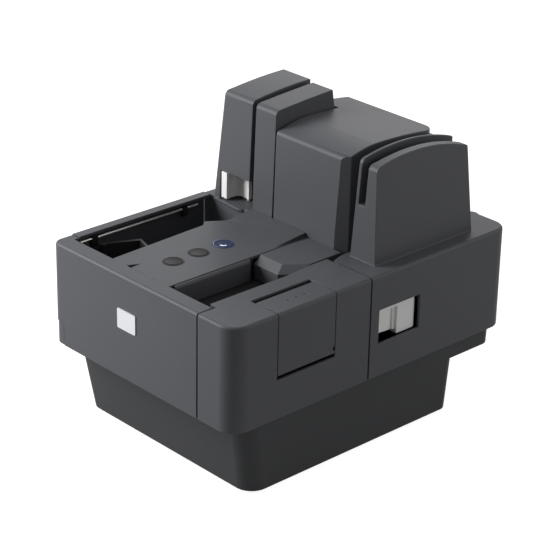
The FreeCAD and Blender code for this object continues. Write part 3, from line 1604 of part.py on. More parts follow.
def centre_panel():
    front = front_rim_edge + panel_front_gap
    outline = [(outer_left, front), (panel_right, front), (panel_right, panel_rear),
               (panel_back_x, panel_rear), (panel_neck_x, panel_neck_y), (panel_bulge_x, panel_bulge_back_y),
               (panel_bulge_x, panel_bulge_y), (panel_left_mid, panel_left_mid_y)]
    plate = prism(outline, deck_bottom, deck_height)
    plate = fillet_where(plate, bulge_fillet, lambda b: lies_at(panel_bulge_x, b.XMin, b.XMax)
                         and lies_at(b.YMin, b.YMax, b.YMax))
    wedge_side = box(panel_back_x, panel_right - seam, crease_right_y, panel_rear, deck_height, far_top)
    crease = Vector(panel_right, crease_right_y, deck_height)
    crease_left = Vector(panel_neck_x, crease_left_y, deck_height)
    top = deck_height + wedge_rise
    rear_left = Vector(panel_neck_x, panel_rear, top)
    rear_right = Vector(panel_right, panel_rear, top)
    low_left = Vector(panel_neck_x, panel_rear, deck_height)
    low_right = Vector(panel_right, panel_rear, deck_height)
    faces = [closed_face([crease_left, crease, low_right, low_left]),
             closed_face([low_left, low_right, rear_right, rear_left]),
             closed_face([crease_left, low_left, rear_left]),
             closed_face([crease, rear_right, low_right]),
             closed_face([crease_left, rear_left, rear_right]),
             closed_face([crease_left, rear_right, crease])]
    wedge = Part.Solid(Part.Shell(faces)).common(wedge_side)
    panel = plate.fuse(wedge)
    holes = [rod(button_x, y, button_radius + button_gap + button_ring + ring_fit, 0, far_top)
             for y in button_places()]
    holes.append(prism([(notch_x, front - overrun), (notch_x + notch_width, front - overrun),
                        (notch_x + notch_width, front), (notch_x + notch_width - fine_seam,
                                                         front + notch_depth), (notch_x, front)],
                       deck_bottom, far_top))
    panel = panel.cut(holes)
    left, right, board_front_edge, board_rear_edge, bottom, top = switch_board_size()
    bosses = [rod(x, y, boss_radius, top, deck_bottom)
              for x in (left + boss_inset, right - boss_inset)
              for y in (board_front_edge + boss_inset, board_rear_edge - boss_inset)]
    return panel.fuse(bosses).removeSplitter()


def button_bottom():
    return deck_bottom - ring_drop - button_flange_thick


def switch_board_size():
    ys = button_places()
    stem_end = button_bottom() - button_stem_length
    top = stem_end - button_travel - running_fit - switch_tall
    return (button_x - board_half_width, button_x + board_half_width, ys[0] - board_margin,
            ys[-1] + board_margin, top - board_thick, top)


def switch_board():
    left, right, front, rear, bottom, top = switch_board_size()
    half = switch_width / 2
    switches = [box(button_x - half, button_x + half, y - half, y + half, top, top + switch_tall)
                for y in button_places()]
    return fuse([box(left, right, front, rear, bottom, top)] + switches)


def button_rings():
    inner = button_radius + button_gap
    rings = []
    for y in button_places():
        ring = rod(button_x, y, inner + button_ring, deck_bottom - ring_drop, deck_height + ring_proud)
        rings.append(ring.cut(rod(button_x, y, inner, 0, far_top)))
    return rings


def button(y):
    low = button_bottom()
    cap = rod(button_x, y, button_radius, low, deck_height + button_proud)
    cap = fillet_where(cap, button_fillet, lambda b: lies_at(deck_height + button_proud, b.ZMin, b.ZMax))
    flange = rod(button_x, y, button_flange, low, low + button_flange_thick - running_fit)
    return cap.fuse([flange, rod(button_x, y, button_stem, low - button_stem_length, low)]).removeSplitter()


def badge_plate():
    plate = rounded_outline(badge_left, badge_right, badge_bottom, badge_top, 0, [badge_radius] * 4)
    face = Part.Face(plate)
    solid = face.extrude(Vector(0, 0, badge_thick))
    solid.rotate(Vector(0, 0, 0), Vector(1, 0, 0), 90)
    solid.translate(Vector(0, body_front, 0))
    return solid


# Hopper
def hopper_tray():
    right = cover_edge_x + skin - seat
    front = front_rim_edge - hopper_front_wall
    floor = box(hopper_left - hopper_wall, right, front, hopper_rear - seat, path_floor_bottom,
                path_floor_top)
    left_wall = box(hopper_left - hopper_wall, hopper_left, front, hopper_rear - seat, path_floor_top,
                    deck_bottom)
    front_wall = box(hopper_left, right, front, front_rim_edge, path_floor_top, deck_bottom)
    tray = fuse([floor, left_wall, front_wall])
    middle = plate_middle()
    half = tongue_width / 2 + tongue_fit
    low = path_floor_top + plate_lift - tongue_fit
    slot = box(hopper_left - hopper_wall - seat, hopper_left + seat, middle - half, middle + half, low,
               low + tongue_thick + tongue_fit * 2)
    return tray.cut(slot)


def plate_middle():
    return (front_rim_edge + plate_front_gap + hopper_rear - plate_rear_gap) / 2


def hopper_plate():
    left = hopper_left + plate_gap
    low = path_floor_top + plate_lift
    plate = box(left, left + plate_thick, front_rim_edge + plate_front_gap, hopper_rear - plate_rear_gap,
                path_floor_top + seat, plate_top)
    middle = plate_middle()
    half = tongue_width / 2
    tongue = box(left - tongue_length - plate_travel / 2, left, middle - half, middle + half, low,
                 low + tongue_thick)
    return plate.fuse(tongue)


def separator_block():
    low = [(block_left, hopper_rear), (block_corner_x, hopper_rear), (block_right, block_side_y),
           (block_right, panel_rear), (block_left, panel_rear)]
    high = [(block_left, block_top_front), (block_top_corner_x, block_top_front),
            (block_right, block_top_side_y), (block_right, panel_rear), (block_left, panel_rear)]
    base = prism(low, path_floor_top, block_shoulder)
    wires = [Part.makePolygon([Vector(x, y, z) for x, y in outline + outline[:1]])
             for outline, z in ((low, block_shoulder), (high, deck_height))]
    crown = Part.makeLoft(wires, True, True)
    block = base.fuse(crown).removeSplitter()
    room = rod(retard_x, feed_y, drive_radius + roller_window, path_floor_top, roller_top + roller_window)
    return block.cut(room)


# Eject pocket
def pocket_tray():
    right = path_left + pocket_wall
    left = pocket_left - pocket_wall
    front = front_rim_edge - pocket_wall
    outer = box(left, right, front, pocket_rear, pocket_floor - pocket_plate, deck_bottom)
    inner = box(pocket_left, path_left, front_rim_edge, far_rear, pocket_floor, far_top)
    tray = outer.cut(inner)
    bore = rod(arm_pivot_x, arm_pivot_y, arm_pin + running_fit, pocket_floor - pocket_plate / 2, far_top)
    return tray.cut(bore)


def pocket_rod():
    return rod_along_y(rod_x, rod_z, rod_radius, rod_front, rod_rear)


def rod_clips():
    clips = []
    for y in (clip_front, clip_rear):
        clip = box(pocket_left, pocket_left + clip_deep, y - clip_half, y + clip_half, clip_bottom, clip_top)
        clips.append(clip.cut(rod_along_y(rod_x, rod_z, rod_radius + clip_fit, far_front, far_rear)))
    return clips


def stacker_arm():
    points = [(arm_pivot_x, arm_pivot_y), (arm_elbow_x, arm_elbow_y), (arm_tip_x, arm_tip_y)]
    low = pocket_floor + arm_lift
    solids = [rod(arm_pivot_x, arm_pivot_y, arm_hub, low, arm_top),
              rod(arm_pivot_x, arm_pivot_y, arm_pin, pocket_floor - pocket_plate / 2 + running_fit, low),
              rod(arm_elbow_x, arm_elbow_y, arm_thick / 2, low, arm_top),
              rod(arm_tip_x, arm_tip_y, arm_thick / 2, low, arm_top)]
    for start, end in zip(points, points[1:]):
        along = Vector(end[0] - start[0], end[1] - start[1], 0)
        across = Vector(-along.y, along.x, 0).normalize() * (arm_thick / 2)
        outline = [(start[0] + across.x, start[1] + across.y), (start[0] - across.x, start[1] - across.y),
                   (end[0] - across.x, end[1] - across.y), (end[0] + across.x, end[1] + across.y)]
        solids.append(prism(outline, low, arm_top))
    return fuse(solids)


pieces = {
    "base_housing": base_housing,
    "base_deck": base_deck,
    "rubber_feet": rubber_feet,
    "main_board": main_board,
    "main_frame": main_frame,
    "path_floor": path_floor,
    "front_cover": front_cover,
    "left_side_cover": left_side_cover,
    "right_front_cover": right_front_cover,
    "cartridge_cover": cartridge_cover,
    "rear_cover": rear_cover,
    "cover_screws": cover_screws,
    "dc_inlet": dc_inlet,
    "usb_port": usb_port,
    "hinge_pins": hinge_pins,
    "right_unit_cover": right_unit_cover,
    "right_unit_frame": right_unit_frame,
    "right_release_lever": right_release_lever,
    "right_image_sensor": right_image_sensor,
    "card_reader_head": card_reader_head,
    "left_unit_cover": left_unit_cover,
    "left_unit_frame": left_unit_frame,
    "left_release_lever": left_release_lever,
    "centre_tower_cover": centre_tower_cover,
    "centre_strip_cover": centre_strip_cover,
    "centre_image_sensor": centre_image_sensor,
    "magnetic_head": magnetic_head,
    "turn_guide_inner": turn_guide_inner,
    "turn_guide_outer": turn_guide_outer,
    "centre_panel": centre_panel,
    "switch_board": switch_board,
    "button_rings": button_rings,
    "badge_plate": badge_plate,
    "hopper_tray": hopper_tray,
    "hopper_plate": hopper_plate,
    "separator_block": separator_block,
    "pocket_tray": pocket_tray,
    "pocket_rod": pocket_rod,
    "rod_clips": rod_clips,
    "stacker_arm": stacker_arm,
    "drive_motor": drive_motor,
    "motor_pulley": motor_pulley,
    "timing_belts": timing_belts,
    "feed_bracket": feed_bracket,
    "feed_motor": feed_motor,
    "feed_pinion": feed_pinion,
    "feed_gear": feed_gear,
    "feed_roller": feed_roller,
    "pick_roller": pick_roller,
    "retard_roller": retard_roller,
    "ink_cartridge": ink_cartridge,
}

shapes = {name: make() for name, make in pieces.items()}
for name in roller_places():
    shapes[name] = drive_roller(name)
shapes["right_pinch_roller"] = pinch(right_pinch_x)
shapes["left_pinch_roller"] = pinch(left_pinch_x)
for number, y in enumerate(button_places(), start=1):
    shapes["button_" + str(number)] = button(y)

for name, shape in shapes.items():
    if isinstance(shape, list):
        shape = Part.makeCompound(shape)
    print(name, len(shape.Solids), shape.isValid(), round(shape.Volume))
    shape.exportStep("parts/" + name + ".step")
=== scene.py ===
import json
import math

import bmesh
import bpy
from mathutils import Matrix, Vector


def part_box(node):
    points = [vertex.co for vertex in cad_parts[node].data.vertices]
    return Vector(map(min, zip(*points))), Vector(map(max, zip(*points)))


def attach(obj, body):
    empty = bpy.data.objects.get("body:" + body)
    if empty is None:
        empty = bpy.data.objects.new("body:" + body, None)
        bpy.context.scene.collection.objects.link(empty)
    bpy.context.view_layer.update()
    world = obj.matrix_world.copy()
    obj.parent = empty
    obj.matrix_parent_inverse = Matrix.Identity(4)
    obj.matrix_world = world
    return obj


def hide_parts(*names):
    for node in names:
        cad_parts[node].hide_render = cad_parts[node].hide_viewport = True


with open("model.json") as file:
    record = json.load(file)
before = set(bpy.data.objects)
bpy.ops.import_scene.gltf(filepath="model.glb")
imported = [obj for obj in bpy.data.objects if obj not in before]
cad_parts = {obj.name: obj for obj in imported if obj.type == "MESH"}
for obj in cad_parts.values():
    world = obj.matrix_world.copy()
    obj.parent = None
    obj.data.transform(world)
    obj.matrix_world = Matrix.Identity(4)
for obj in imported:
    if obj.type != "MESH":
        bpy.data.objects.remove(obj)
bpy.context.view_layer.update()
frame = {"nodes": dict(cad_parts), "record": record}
mm = 0.001
mergeWithin = 0.001 * mm


# Camera, at the photograph's angle
cameraSetup = {
    "azimuth": 46.565,      # degrees round from the front towards the right side
    "elevation": 24.729,
    "roll": 1.287,
    "lens": 132.0,
    "sensor": 36,
    "nearest": 50 * mm,
    "place": (985.4 * mm, -935.9 * mm, 728.8 * mm),
}


def addCamera():
    azimuth = math.radians(cameraSetup["azimuth"])
    elevation = math.radians(cameraSetup["elevation"])
    back = Vector((
        math.sin(azimuth) * math.cos(elevation),
        -math.cos(azimuth) * math.cos(elevation),
        math.sin(elevation),
    ))
    roll = Matrix.Rotation(math.radians(cameraSetup["roll"]), 3, "Z")
    turn = back.to_track_quat("Z", "Y").to_matrix() @ roll
    camera = bpy.data.objects.new("camera", bpy.data.cameras.new("camera"))
    camera.data.lens = cameraSetup["lens"]
    camera.data.sensor_width = cameraSetup["sensor"]
    camera.data.clip_start = cameraSetup["nearest"]
    camera.matrix_world = Matrix.Translation(cameraSetup["place"]) @ turn.to_4x4()
    bpy.context.scene.collection.objects.link(camera)
    bpy.context.scene.camera = camera


addCamera()
print("camera placed")


# Materials
def toLinear(hexColour):
    channels = [int(hexColour[i:i + 2], 16) / 255 for i in (1, 3, 5)]
    return [c / 12.92 if c <= 0.04045 else ((c + 0.055) / 1.055) ** 2.4 for c in channels] + [1]


def addNode(tree, kind, settings=None, links=None):
    node = tree.nodes.new(kind)
    for name, value in (settings or {}).items():
        if name in node.inputs:
            node.inputs[name].default_value = value
        else:
            setattr(node, name, value)
    for name, source in (links or {}).items():
        tree.links.new(source, node.inputs[name])
    return node


def startMaterial(name):
    material = bpy.data.materials.new(name)
    material.use_nodes = True
    material.node_tree.nodes.clear()
    return material, material.node_tree


def endMaterial(tree, shader):
    addNode(tree, "ShaderNodeOutputMaterial", links={"Surface": shader.outputs[0]})


mouldTexture = {
    "drift": 70 * mm,           # about a hand's width
    "speckContrast": 0.06,
    "shineSpread": 0.06,        # of the roughness, either way
    "bump": 0.5,
    "refraction": 1.53,         # of ABS
}


def mouldedPlastic(name, colour, grain, roughness, depth, patch=0.06, specular=0.22):
    # Moulded plastic: a spark-eroded grain breaks up the shine,
    # and the tone drifts a little over a hand's width
    material, tree = startMaterial(name)
    place = addNode(tree, "ShaderNodeTexCoord").outputs["Object"]
    driftSize = {"Scale": 1 / mouldTexture["drift"], "Detail": 2.0}
    drift = addNode(tree, "ShaderNodeTexNoise", driftSize, {"Vector": place})
    toneRange = {"To Min": 1 - patch, "To Max": 1 + patch}
    tone = addNode(tree, "ShaderNodeMapRange", toneRange, {"Value": drift.outputs["Fac"]})
    speckSize = {"Scale": 1 / grain, "Detail": 3.0, "Roughness": 0.6}
    speck = addNode(tree, "ShaderNodeTexNoise", speckSize, {"Vector": place})
    contrast = mouldTexture["speckContrast"]
    liftRange = {"To Min": 1 - contrast, "To Max": 1 + contrast}
    lift = addNode(tree, "ShaderNodeMapRange", liftRange, {"Value": speck.outputs["Fac"]})
    both = addNode(tree, "ShaderNodeMath", {"operation": "MULTIPLY"})
    tree.links.new(tone.outputs[0], both.inputs[0])
    tree.links.new(lift.outputs[0], both.inputs[1])
    paint = addNode(tree, "ShaderNodeVectorMath", {"operation": "SCALE"}, {"Scale": both.outputs[0]})
    paint.inputs[0].default_value = toLinear(colour)[:3]
    spread = mouldTexture["shineSpread"]
    shineRange = {"To Min": roughness - spread, "To Max": roughness + spread}
    shine = addNode(tree, "ShaderNodeMapRange", shineRange, {"Value": speck.outputs["Fac"]})
    relief = {"Strength": mouldTexture["bump"], "Distance": depth}
    bump = addNode(tree, "ShaderNodeBump", relief, {"Height": speck.outputs["Fac"]})
    gloss = {"IOR": mouldTexture["refraction"], "Specular IOR Level": specular}
    shader = addNode(tree, "ShaderNodeBsdfPrincipled", gloss, {
        "Base Color": paint.outputs[0],
        "Roughness": shine.outputs[0],
        "Normal": bump.outputs[0],
    })
    endMaterial(tree, shader)
    return material


brushTexture = {
    "stretch": 0.04,            # share of the pattern's scale along the scratches
    "shineSpread": 0.05,
    "bump": 0.3,
}
upright = (1.0, 1.0, brushTexture["stretch"])
sideways = (brushTexture["stretch"], 1.0, 1.0)


def metalFinish(name, colour, roughness, brush, depth, along=upright):
    # Drawn or brushed metal: fine scratches run one way and spread the highlight across them
    material, tree = startMaterial(name)
    place = addNode(tree, "ShaderNodeTexCoord").outputs["Object"]
    stretch = addNode(tree, "ShaderNodeMapping", {"Scale": along}, {"Vector": place})
    scratchSize = {"Scale": 1 / brush, "Detail": 2.0}
    scratch = addNode(tree, "ShaderNodeTexNoise", scratchSize, {"Vector": stretch.outputs[0]})
    spread = brushTexture["shineSpread"]
    shineRange = {"To Min": roughness - spread, "To Max": roughness + spread}
    shine = addNode(tree, "ShaderNodeMapRange", shineRange, {"Value": scratch.outputs["Fac"]})
    relief = {"Strength": brushTexture["bump"], "Distance": depth}
    bump = addNode(tree, "ShaderNodeBump", relief, {"Height": scratch.outputs["Fac"]})
    shader = addNode(tree, "ShaderNodeBsdfPrincipled", {"Base Color": toLinear(colour), "Metallic": 1.0}, {
        "Roughness": shine.outputs[0],
        "Normal": bump.outputs[0],
    })
    endMaterial(tree, shader)
    return material


glowWindow = {
    "cloud": 2 * mm,
    "uneven": 0.2,              # share of the strength, either way
    "roughness": 0.25,
}


def glowOfLampOrPaintedHighlight(name, colour, strength):
    # Light-emitting diode behind a milky window, which leaves its light a little cloudy; the same glow also
    # paints the white highlight bar on the third cap
    material, tree = startMaterial(name)
    place = addNode(tree, "ShaderNodeTexCoord").outputs["Object"]
    cloudSize = {"Scale": 1 / glowWindow["cloud"], "Detail": 1.0}
    cloud = addNode(tree, "ShaderNodeTexNoise", cloudSize, {"Vector": place})
    uneven = glowWindow["uneven"]
    glowRange = {"To Min": strength * (1 - uneven), "To Max": strength * (1 + uneven)}
    level = addNode(tree, "ShaderNodeMapRange", glowRange, {"Value": cloud.outputs["Fac"]})
    shader = addNode(tree, "ShaderNodeBsdfPrincipled", {
        "Base Color": toLinear(colour),
        "Roughness": glowWindow["roughness"],
        "Emission Color": toLinear(colour),
    }, {"Emission Strength": level.outputs[0]})
    endMaterial(tree, shader)
    return material


# Spark-eroded charcoal ABS of the covers: matt, a little lighter where the light rakes its grain
coverPlastic = mouldedPlastic("charcoalAbs", "#525357", 0.9 * mm, 0.5, 0.03 * mm)
# The tapered lower housing is the same resin, a little darker of its own, and darker still with painted
# shade from the overhanging body above it
housingPlasticAndShade = mouldedPlastic("pedestalAbsAndPaintedShade", "#393a3c", 1.1 * mm, 0.54, 0.04 * mm)
# Semi-gloss black ABS inside the hopper and the pocket
pocketPlastic = mouldedPlastic("blackAbs", "#232325", 0.8 * mm, 0.4, 0.015 * mm, specular=0.25)
# Smooth white ABS of the release levers, which greys in its hollows
leverPlastic = mouldedPlastic("whiteAbs", "#f2f1f0", 1.2 * mm, 0.38, 0.01 * mm, 0.01)
# Smoked polycarbonate button caps: dark, with a low sheen, and the lit one painted blue for the glow of its
# lamp
capPlastic = mouldedPlastic("smokedPolycarbonate", "#262626", 2.5 * mm, 0.36, 0.002 * mm, 0.02, 0.07)
litPlastic = mouldedPlastic("smokedPolycarbonatePaintedBlueGlow", "#28324c", 2.5 * mm, 0.32, 0.002 * mm, 0.02, 0.16)
# Machined acetal gears look waxy and nearly white, and the pinch rollers are the grey grade
gearNylon = mouldedPlastic("acetal", "#dcd8cb", 1.2 * mm, 0.38, 0.01 * mm, 0.02)
pinchPlastic = mouldedPlastic("greyAcetal", "#8b8c8e", 1.2 * mm, 0.4, 0.01 * mm, 0.02)
# Ground roller rubber is dull and even, the feet are softer and duller still
rollerRubber = mouldedPlastic("groundRubber", "#2b2c2e", 0.6 * mm, 0.72, 0.03 * mm, 0.03)
footRubber = mouldedPlastic("footRubber", "#202021", 0.9 * mm, 0.8, 0.03 * mm, 0.03)
beltRubber = mouldedPlastic("neoprene", "#232324", 0.4 * mm, 0.66, 0.03 * mm, 0.03)
# Green solder mask over a glass laminate, which it leaves a little uneven and glossy
boardLaminate = mouldedPlastic("solderMask", "#1f5a3a", 2.0 * mm, 0.32, 0.01 * mm, 0.1, 0.5)
# Black window glass of the image sensors is nearly a mirror, their connectors' nylon is duller
sensorPlastic = mouldedPlastic("sensorGlassBlack", "#141416", 1.0 * mm, 0.18, 0.004 * mm, 0.02, 0.5)
portPlastic = mouldedPlastic("connectorNylon", "#17171a", 0.9 * mm, 0.35, 0.01 * mm, 0.02)
# Brushed and clear-anodised aluminium of the badge, brushed across its width
badgeSilver = metalFinish("satinAluminium", "#d9dade", 0.55, 0.25 * mm, 0.004 * mm, sideways)
# Centreless-ground steel of the rod, pins and screws has a soft bright line along its length
steel = metalFinish("groundSteel", "#f6f1ec", 0.42, 0.3 * mm, 0.002 * mm)
# Zinc-plated sheet of the frames, nickel-plated cans of the motors, polished nickel-iron of the heads
framePlate = metalFinish("zincPlate", "#a9abad", 0.38, 0.8 * mm, 0.01 * mm)
motorCan = metalFinish("platedMotorCan", "#b4b4b2", 0.3, 0.5 * mm, 0.004 * mm)
headMetal = metalFinish("nickelIron", "#c4c0b8", 0.2, 0.3 * mm, 0.002 * mm)
# Dim blue ring light round the third button, and the white bar on its cap, a glowing painted highlight
ringLight = glowOfLampOrPaintedHighlight("blueRingLight", "#4d558c", 0.12)
paintedHighlightBar = glowOfLampOrPaintedHighlight("whitePaintedHighlight", "#dfe8ff", 1.0)

slotFinish = {
    "cover_plastic": coverPlastic,
    "housing_plastic": housingPlasticAndShade,
    "inner_plastic": pocketPlastic,
    "frame_metal": framePlate,
    "foot_rubber": footRubber,
    "roller_rubber": rollerRubber,
    "pinch_plastic": pinchPlastic,
    "steel": steel,
    "motor_metal": motorCan,
    "gear_plastic": gearNylon,
    "belt_rubber": beltRubber,
    "white_plastic": leverPlastic,
    "button_plastic": capPlastic,
    "badge_silver": badgeSilver,
    "board": boardLaminate,
    "sensor_plastic": sensorPlastic,
    "head_metal": headMetal,
    "port_plastic": portPlastic,
}
nodeSlot = {part["node"]: part["material_slot"] for part in frame["record"]["subparts"]}
print("materials made:", len(slotFinish))


# Push buttons: a dished cap with a raised rim, the third one lit
fullTurn = 360.0
buttonShape = {
    "litNumber": 3,
    "capRadius": 6.75 * mm,
    "rimWide": 0.9 * mm,        # from the cap's outer edge to the dish
    "rimRound": 0.45 * mm,
    "dishDeep": 0.35 * mm,
    "dishShares": ((0.5, 0.25), (0.85, 0.6)),   # of the dish's radius and of its depth
    "rimShares": (0.15, 0.4, 0.3),              # of the rim's rounding: inner drop and width, outer cut
    "creaseAngle": 40,          # degrees, from which a turned piece shades as an edge
    "leastSteps": 6,            # of a partly turned piece
    "stemRadius": 2.0 * mm,
    "stemLength": 3.0 * mm,
    "flangeThick": 1.35 * mm,
    "segments": 48,
    "highlightRadius": 3.5 * mm,    # arc of the painted highlight on the third cap
    "highlightWide": 0.9 * mm,
    "highlightRise": 0.12 * mm,
    "highlightSpan": 75,            # degrees
    "highlightMiddle": -45.0,       # degrees round from the right, so that the painted highlight faces the front right corner, where the camera is
    "haloGap": 0.25 * mm,
    "haloWide": 0.5 * mm,
    "haloRise": 0.06 * mm,
    "haloSink": 0.4 * mm,
}


def turnedPiece(name, centre, outline, body, finish, closed=True, start=0.0, span=fullTurn):
    # outline: (radius, height) points of the section, which is turned about the upright axis
    mesh = bmesh.new()
    points = [mesh.verts.new((centre[0] + r, centre[1], z)) for r, z in outline]
    for first, second in zip(points, points[1:]):
        mesh.edges.new((first, second))
    if closed:
        mesh.edges.new((points[-1], points[0]))
    loop = mesh.edges[:]
    middle = (centre[0], centre[1], 0)
    turn = Matrix.Rotation(math.radians(start), 3, "Z")
    bmesh.ops.rotate(mesh, cent=middle, matrix=turn, verts=mesh.verts)
    steps = max(buttonShape["leastSteps"], round(buttonShape["segments"] * span / fullTurn))
    bmesh.ops.spin(
        mesh, geom=mesh.verts[:] + loop, cent=middle, axis=(0, 0, 1), dvec=(0, 0, 0),
        angle=math.radians(span), steps=steps, use_merge=span == fullTurn, use_duplicate=False,
    )
    bmesh.ops.remove_doubles(mesh, verts=mesh.verts, dist=mergeWithin)
    if span != fullTurn:
        bmesh.ops.holes_fill(mesh, edges=[edge for edge in mesh.edges if edge.is_boundary])
    bmesh.ops.recalc_face_normals(mesh, faces=mesh.faces)
    for face in mesh.faces:
        face.smooth = True
    data = bpy.data.meshes.new(name)
    mesh.to_mesh(data)
    mesh.free()
    data.set_sharp_from_angle(angle=math.radians(buttonShape["creaseAngle"]))
    piece = bpy.data.objects.new(name, data)
    bpy.context.scene.collection.objects.link(piece)
    data.materials.append(finish)
    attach(piece, body)
    return piece


def addButton(number):
    nodeName = "button_%d" % number
    low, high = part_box(nodeName)
    centre = ((low[0] + high[0]) / 2, (low[1] + high[1]) / 2)
    flangeRadius = (high[0] - low[0]) / 2
    flangeLow = low[2] + buttonShape["stemLength"]
    flangeHigh = flangeLow + buttonShape["flangeThick"]
    radius = buttonShape["capRadius"]
    top = high[2]
    inner = radius - buttonShape["rimWide"]
    soft = buttonShape["rimRound"]
    dish = top - buttonShape["dishDeep"]
    slope = [(inner * out, dish + rise * buttonShape["dishDeep"]) for out, rise in buttonShape["dishShares"]]
    innerDrop, innerWide, outerCut = [share * soft for share in buttonShape["rimShares"]]
    outline = [
        (0, dish), *slope, (inner, top - innerDrop),
        (inner + innerWide, top), (radius - soft, top), (radius - outerCut, top - outerCut),
        (radius, top - soft), (radius, flangeHigh), (flangeRadius, flangeHigh), (flangeRadius, flangeLow),
        (buttonShape["stemRadius"], flangeLow), (buttonShape["stemRadius"], low[2]), (0, low[2]),
    ]
    finish = litPlastic if number == buttonShape["litNumber"] else capPlastic
    cap = turnedPiece(
        nodeName + "_cap", centre, outline,
        nodeBody[nodeName], finish, closed=False,
    )
    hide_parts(nodeName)
    return centre, top


def addPaintedHighlightAndRingLight(nodeName, centre, top):
    # Glowing white bar set into the dish, a painted highlight, and a blue ring light in the gap round the
    # cap
    halfWide = buttonShape["highlightWide"] / 2
    barHigh = top + buttonShape["highlightRise"]
    barInnerHigh = barHigh - 2 * buttonShape["highlightRise"]    # lower towards the cap's middle, as the dish is
    barLow = top - buttonShape["dishDeep"]
    barInner = buttonShape["highlightRadius"] - halfWide
    barOuter = buttonShape["highlightRadius"] + halfWide
    turnedPiece(
        nodeName + "_painted_highlight_bar", centre,
        [(barInner, barLow), (barInner, barInnerHigh), (barOuter, barHigh), (barOuter, barLow)],
        nodeBody[nodeName], paintedHighlightBar,
        start=buttonShape["highlightMiddle"] - buttonShape["highlightSpan"] / 2, span=buttonShape["highlightSpan"],
    )
    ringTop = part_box("button_rings")[1][2]
    haloInner = buttonShape["capRadius"] + buttonShape["haloGap"]
    haloOuter = haloInner + buttonShape["haloWide"]
    haloLow = ringTop - buttonShape["haloSink"]
    haloHigh = ringTop + buttonShape["haloRise"]
    turnedPiece(
        nodeName + "_light_ring", centre,
        [(haloInner, haloLow), (haloInner, haloHigh), (haloOuter, haloHigh), (haloOuter, haloLow)],
        nodeBody["button_rings"], ringLight,
    )


nodeBody = {name: body for body, names in frame["record"]["behaviour"]["bodies"].items() for name in names}
for number in (1, 2, 3):
    capCentre, capTop = addButton(number)
    if number == buttonShape["litNumber"]:
        addPaintedHighlightAndRingLight("button_%d" % number, capCentre, capTop)
print("buttons dished, the third lit")


# Covers, levers and other moulded pieces with their small edge radii, in millimetres
edgeRounds = {
    "front_cover": 0.5, "left_side_cover": 0.5, "right_front_cover": 0.5,
    "cartridge_cover": 0.4, "rear_cover": 0.5,
    "base_housing": 0.6, "base_deck": 0.4, "right_unit_cover": 0.7, "left_unit_cover": 0.7,
    "centre_tower_cover": 0.7, "centre_strip_cover": 0.5, "centre_panel": 0.4, "hopper_tray": 0.3,
    "pocket_tray": 0.3, "left_release_lever": 0.35, "right_release_lever": 0.35, "badge_plate": 0.25,
    "hopper_plate": 0.3, "separator_block": 0.3, "stacker_arm": 0.3, "rod_clips": 0.2, "rubber_feet": 0.4,
}
shellSlot = {"hopper_plate": "cover_plastic", "pocket_tray": "cover_plastic"}    # the covers' resin
rounding = {
    "turn": 35.0,       # degrees between two faces, from which their edge is rounded
    "beside": 1.2,      # radii of room that the edge needs on its two faces
    "atEnds": 0.5,      # and along the edges that it meets
    "segments": 2,
    "flatWeight": 90,   # how far the largest face rules the shading at a corner
    "samePlane": 0.5,   # degrees, under which the solid's triangles join into one face
}
crease = {
    "turn": 3.0,        # degrees between two faces
    "wide": 3.0 * mm,   # both faces at least this wide: the narrow strips of a fillet stay smooth
    "level": 0.1,       # degrees, below which two faces are one plane
}
plateLip = {
    "inner": 16.7 * mm,     # the lip stands clear of the panel's side by 0.3
    "rise": 2.6 * mm,
    "round": 2.6 * mm,      # its edge carries on the rounding of the panel above it
    "segments": 6,
    "near": 0.1 * mm,       # how close to a side of its box an edge of the plate is taken to be on it
    "level": 0.9,           # upward part of a normal, from which a face is taken to be the top
}


def faceWidth(face):
    return face.calc_area() / max(edge.calc_length() for edge in face.edges)


def joinPlanes(mesh):
    limit = math.radians(rounding["samePlane"])
    bmesh.ops.dissolve_limit(mesh, angle_limit=limit, verts=mesh.verts, edges=mesh.edges)


def markCreases(mesh):
    for edge in mesh.edges:
        if len(edge.link_faces) != 2:
            continue
        turn = math.degrees(edge.calc_face_angle(0))
        if turn > crease["turn"] and min(faceWidth(face) for face in edge.link_faces) > crease["wide"]:
            edge.smooth = False


def markRounds(mesh, width):
    # Only edges with room for the radius on both faces and at both ends take it, the others stay crisp
    weight = mesh.edges.layers.float.new("bevel_weight_edge")
    for edge in mesh.edges:
        if len(edge.link_faces) != 2 or math.degrees(edge.calc_face_angle(0)) < rounding["turn"]:
            continue
        around = [other for vert in edge.verts for other in vert.link_edges]
        endRoom = min(other.calc_length() for other in around)
        sideRoom = min(faceWidth(face) for face in edge.link_faces)
        if endRoom > rounding["atEnds"] * width and sideRoom > rounding["beside"] * width:
            edge[weight] = 1.0
        else:
            edge.smooth = False


def raiseLip(mesh):
    # The plate's outer top edge stands up as a rounded lip beside the panel
    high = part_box("hopper_plate")[1]
    near = plateLip["near"]
    everything = mesh.verts[:] + mesh.edges[:] + mesh.faces[:]
    bmesh.ops.bisect_plane(mesh, geom=everything, plane_co=(plateLip["inner"], 0, 0), plane_no=(1, 0, 0))
    upper = [
        face for face in mesh.faces
        if face.normal.z > plateLip["level"] and face.calc_center_median().z > high[2] - near
        and face.calc_center_median().x > plateLip["inner"]
    ]
    raised = bmesh.ops.extrude_face_region(mesh, geom=upper)["geom"]
    verts = [item for item in raised if isinstance(item, bmesh.types.BMVert)]
    bmesh.ops.translate(mesh, vec=(0, 0, plateLip["rise"]), verts=verts)
    bmesh.ops.delete(mesh, geom=upper, context="FACES")
    bmesh.ops.recalc_face_normals(mesh, faces=mesh.faces)
    joinPlanes(mesh)
    outer = [
        edge for edge in mesh.edges
        if all(vert.co.x > high[0] - near and vert.co.z > high[2] + near for vert in edge.verts)
        and abs(edge.verts[0].co.y - edge.verts[1].co.y) > near
    ]
    bmesh.ops.bevel(
        mesh, geom=outer, offset=plateLip["round"], offset_type="OFFSET", affect="EDGES",
        segments=plateLip["segments"], profile=0.5, material=-1,
    )


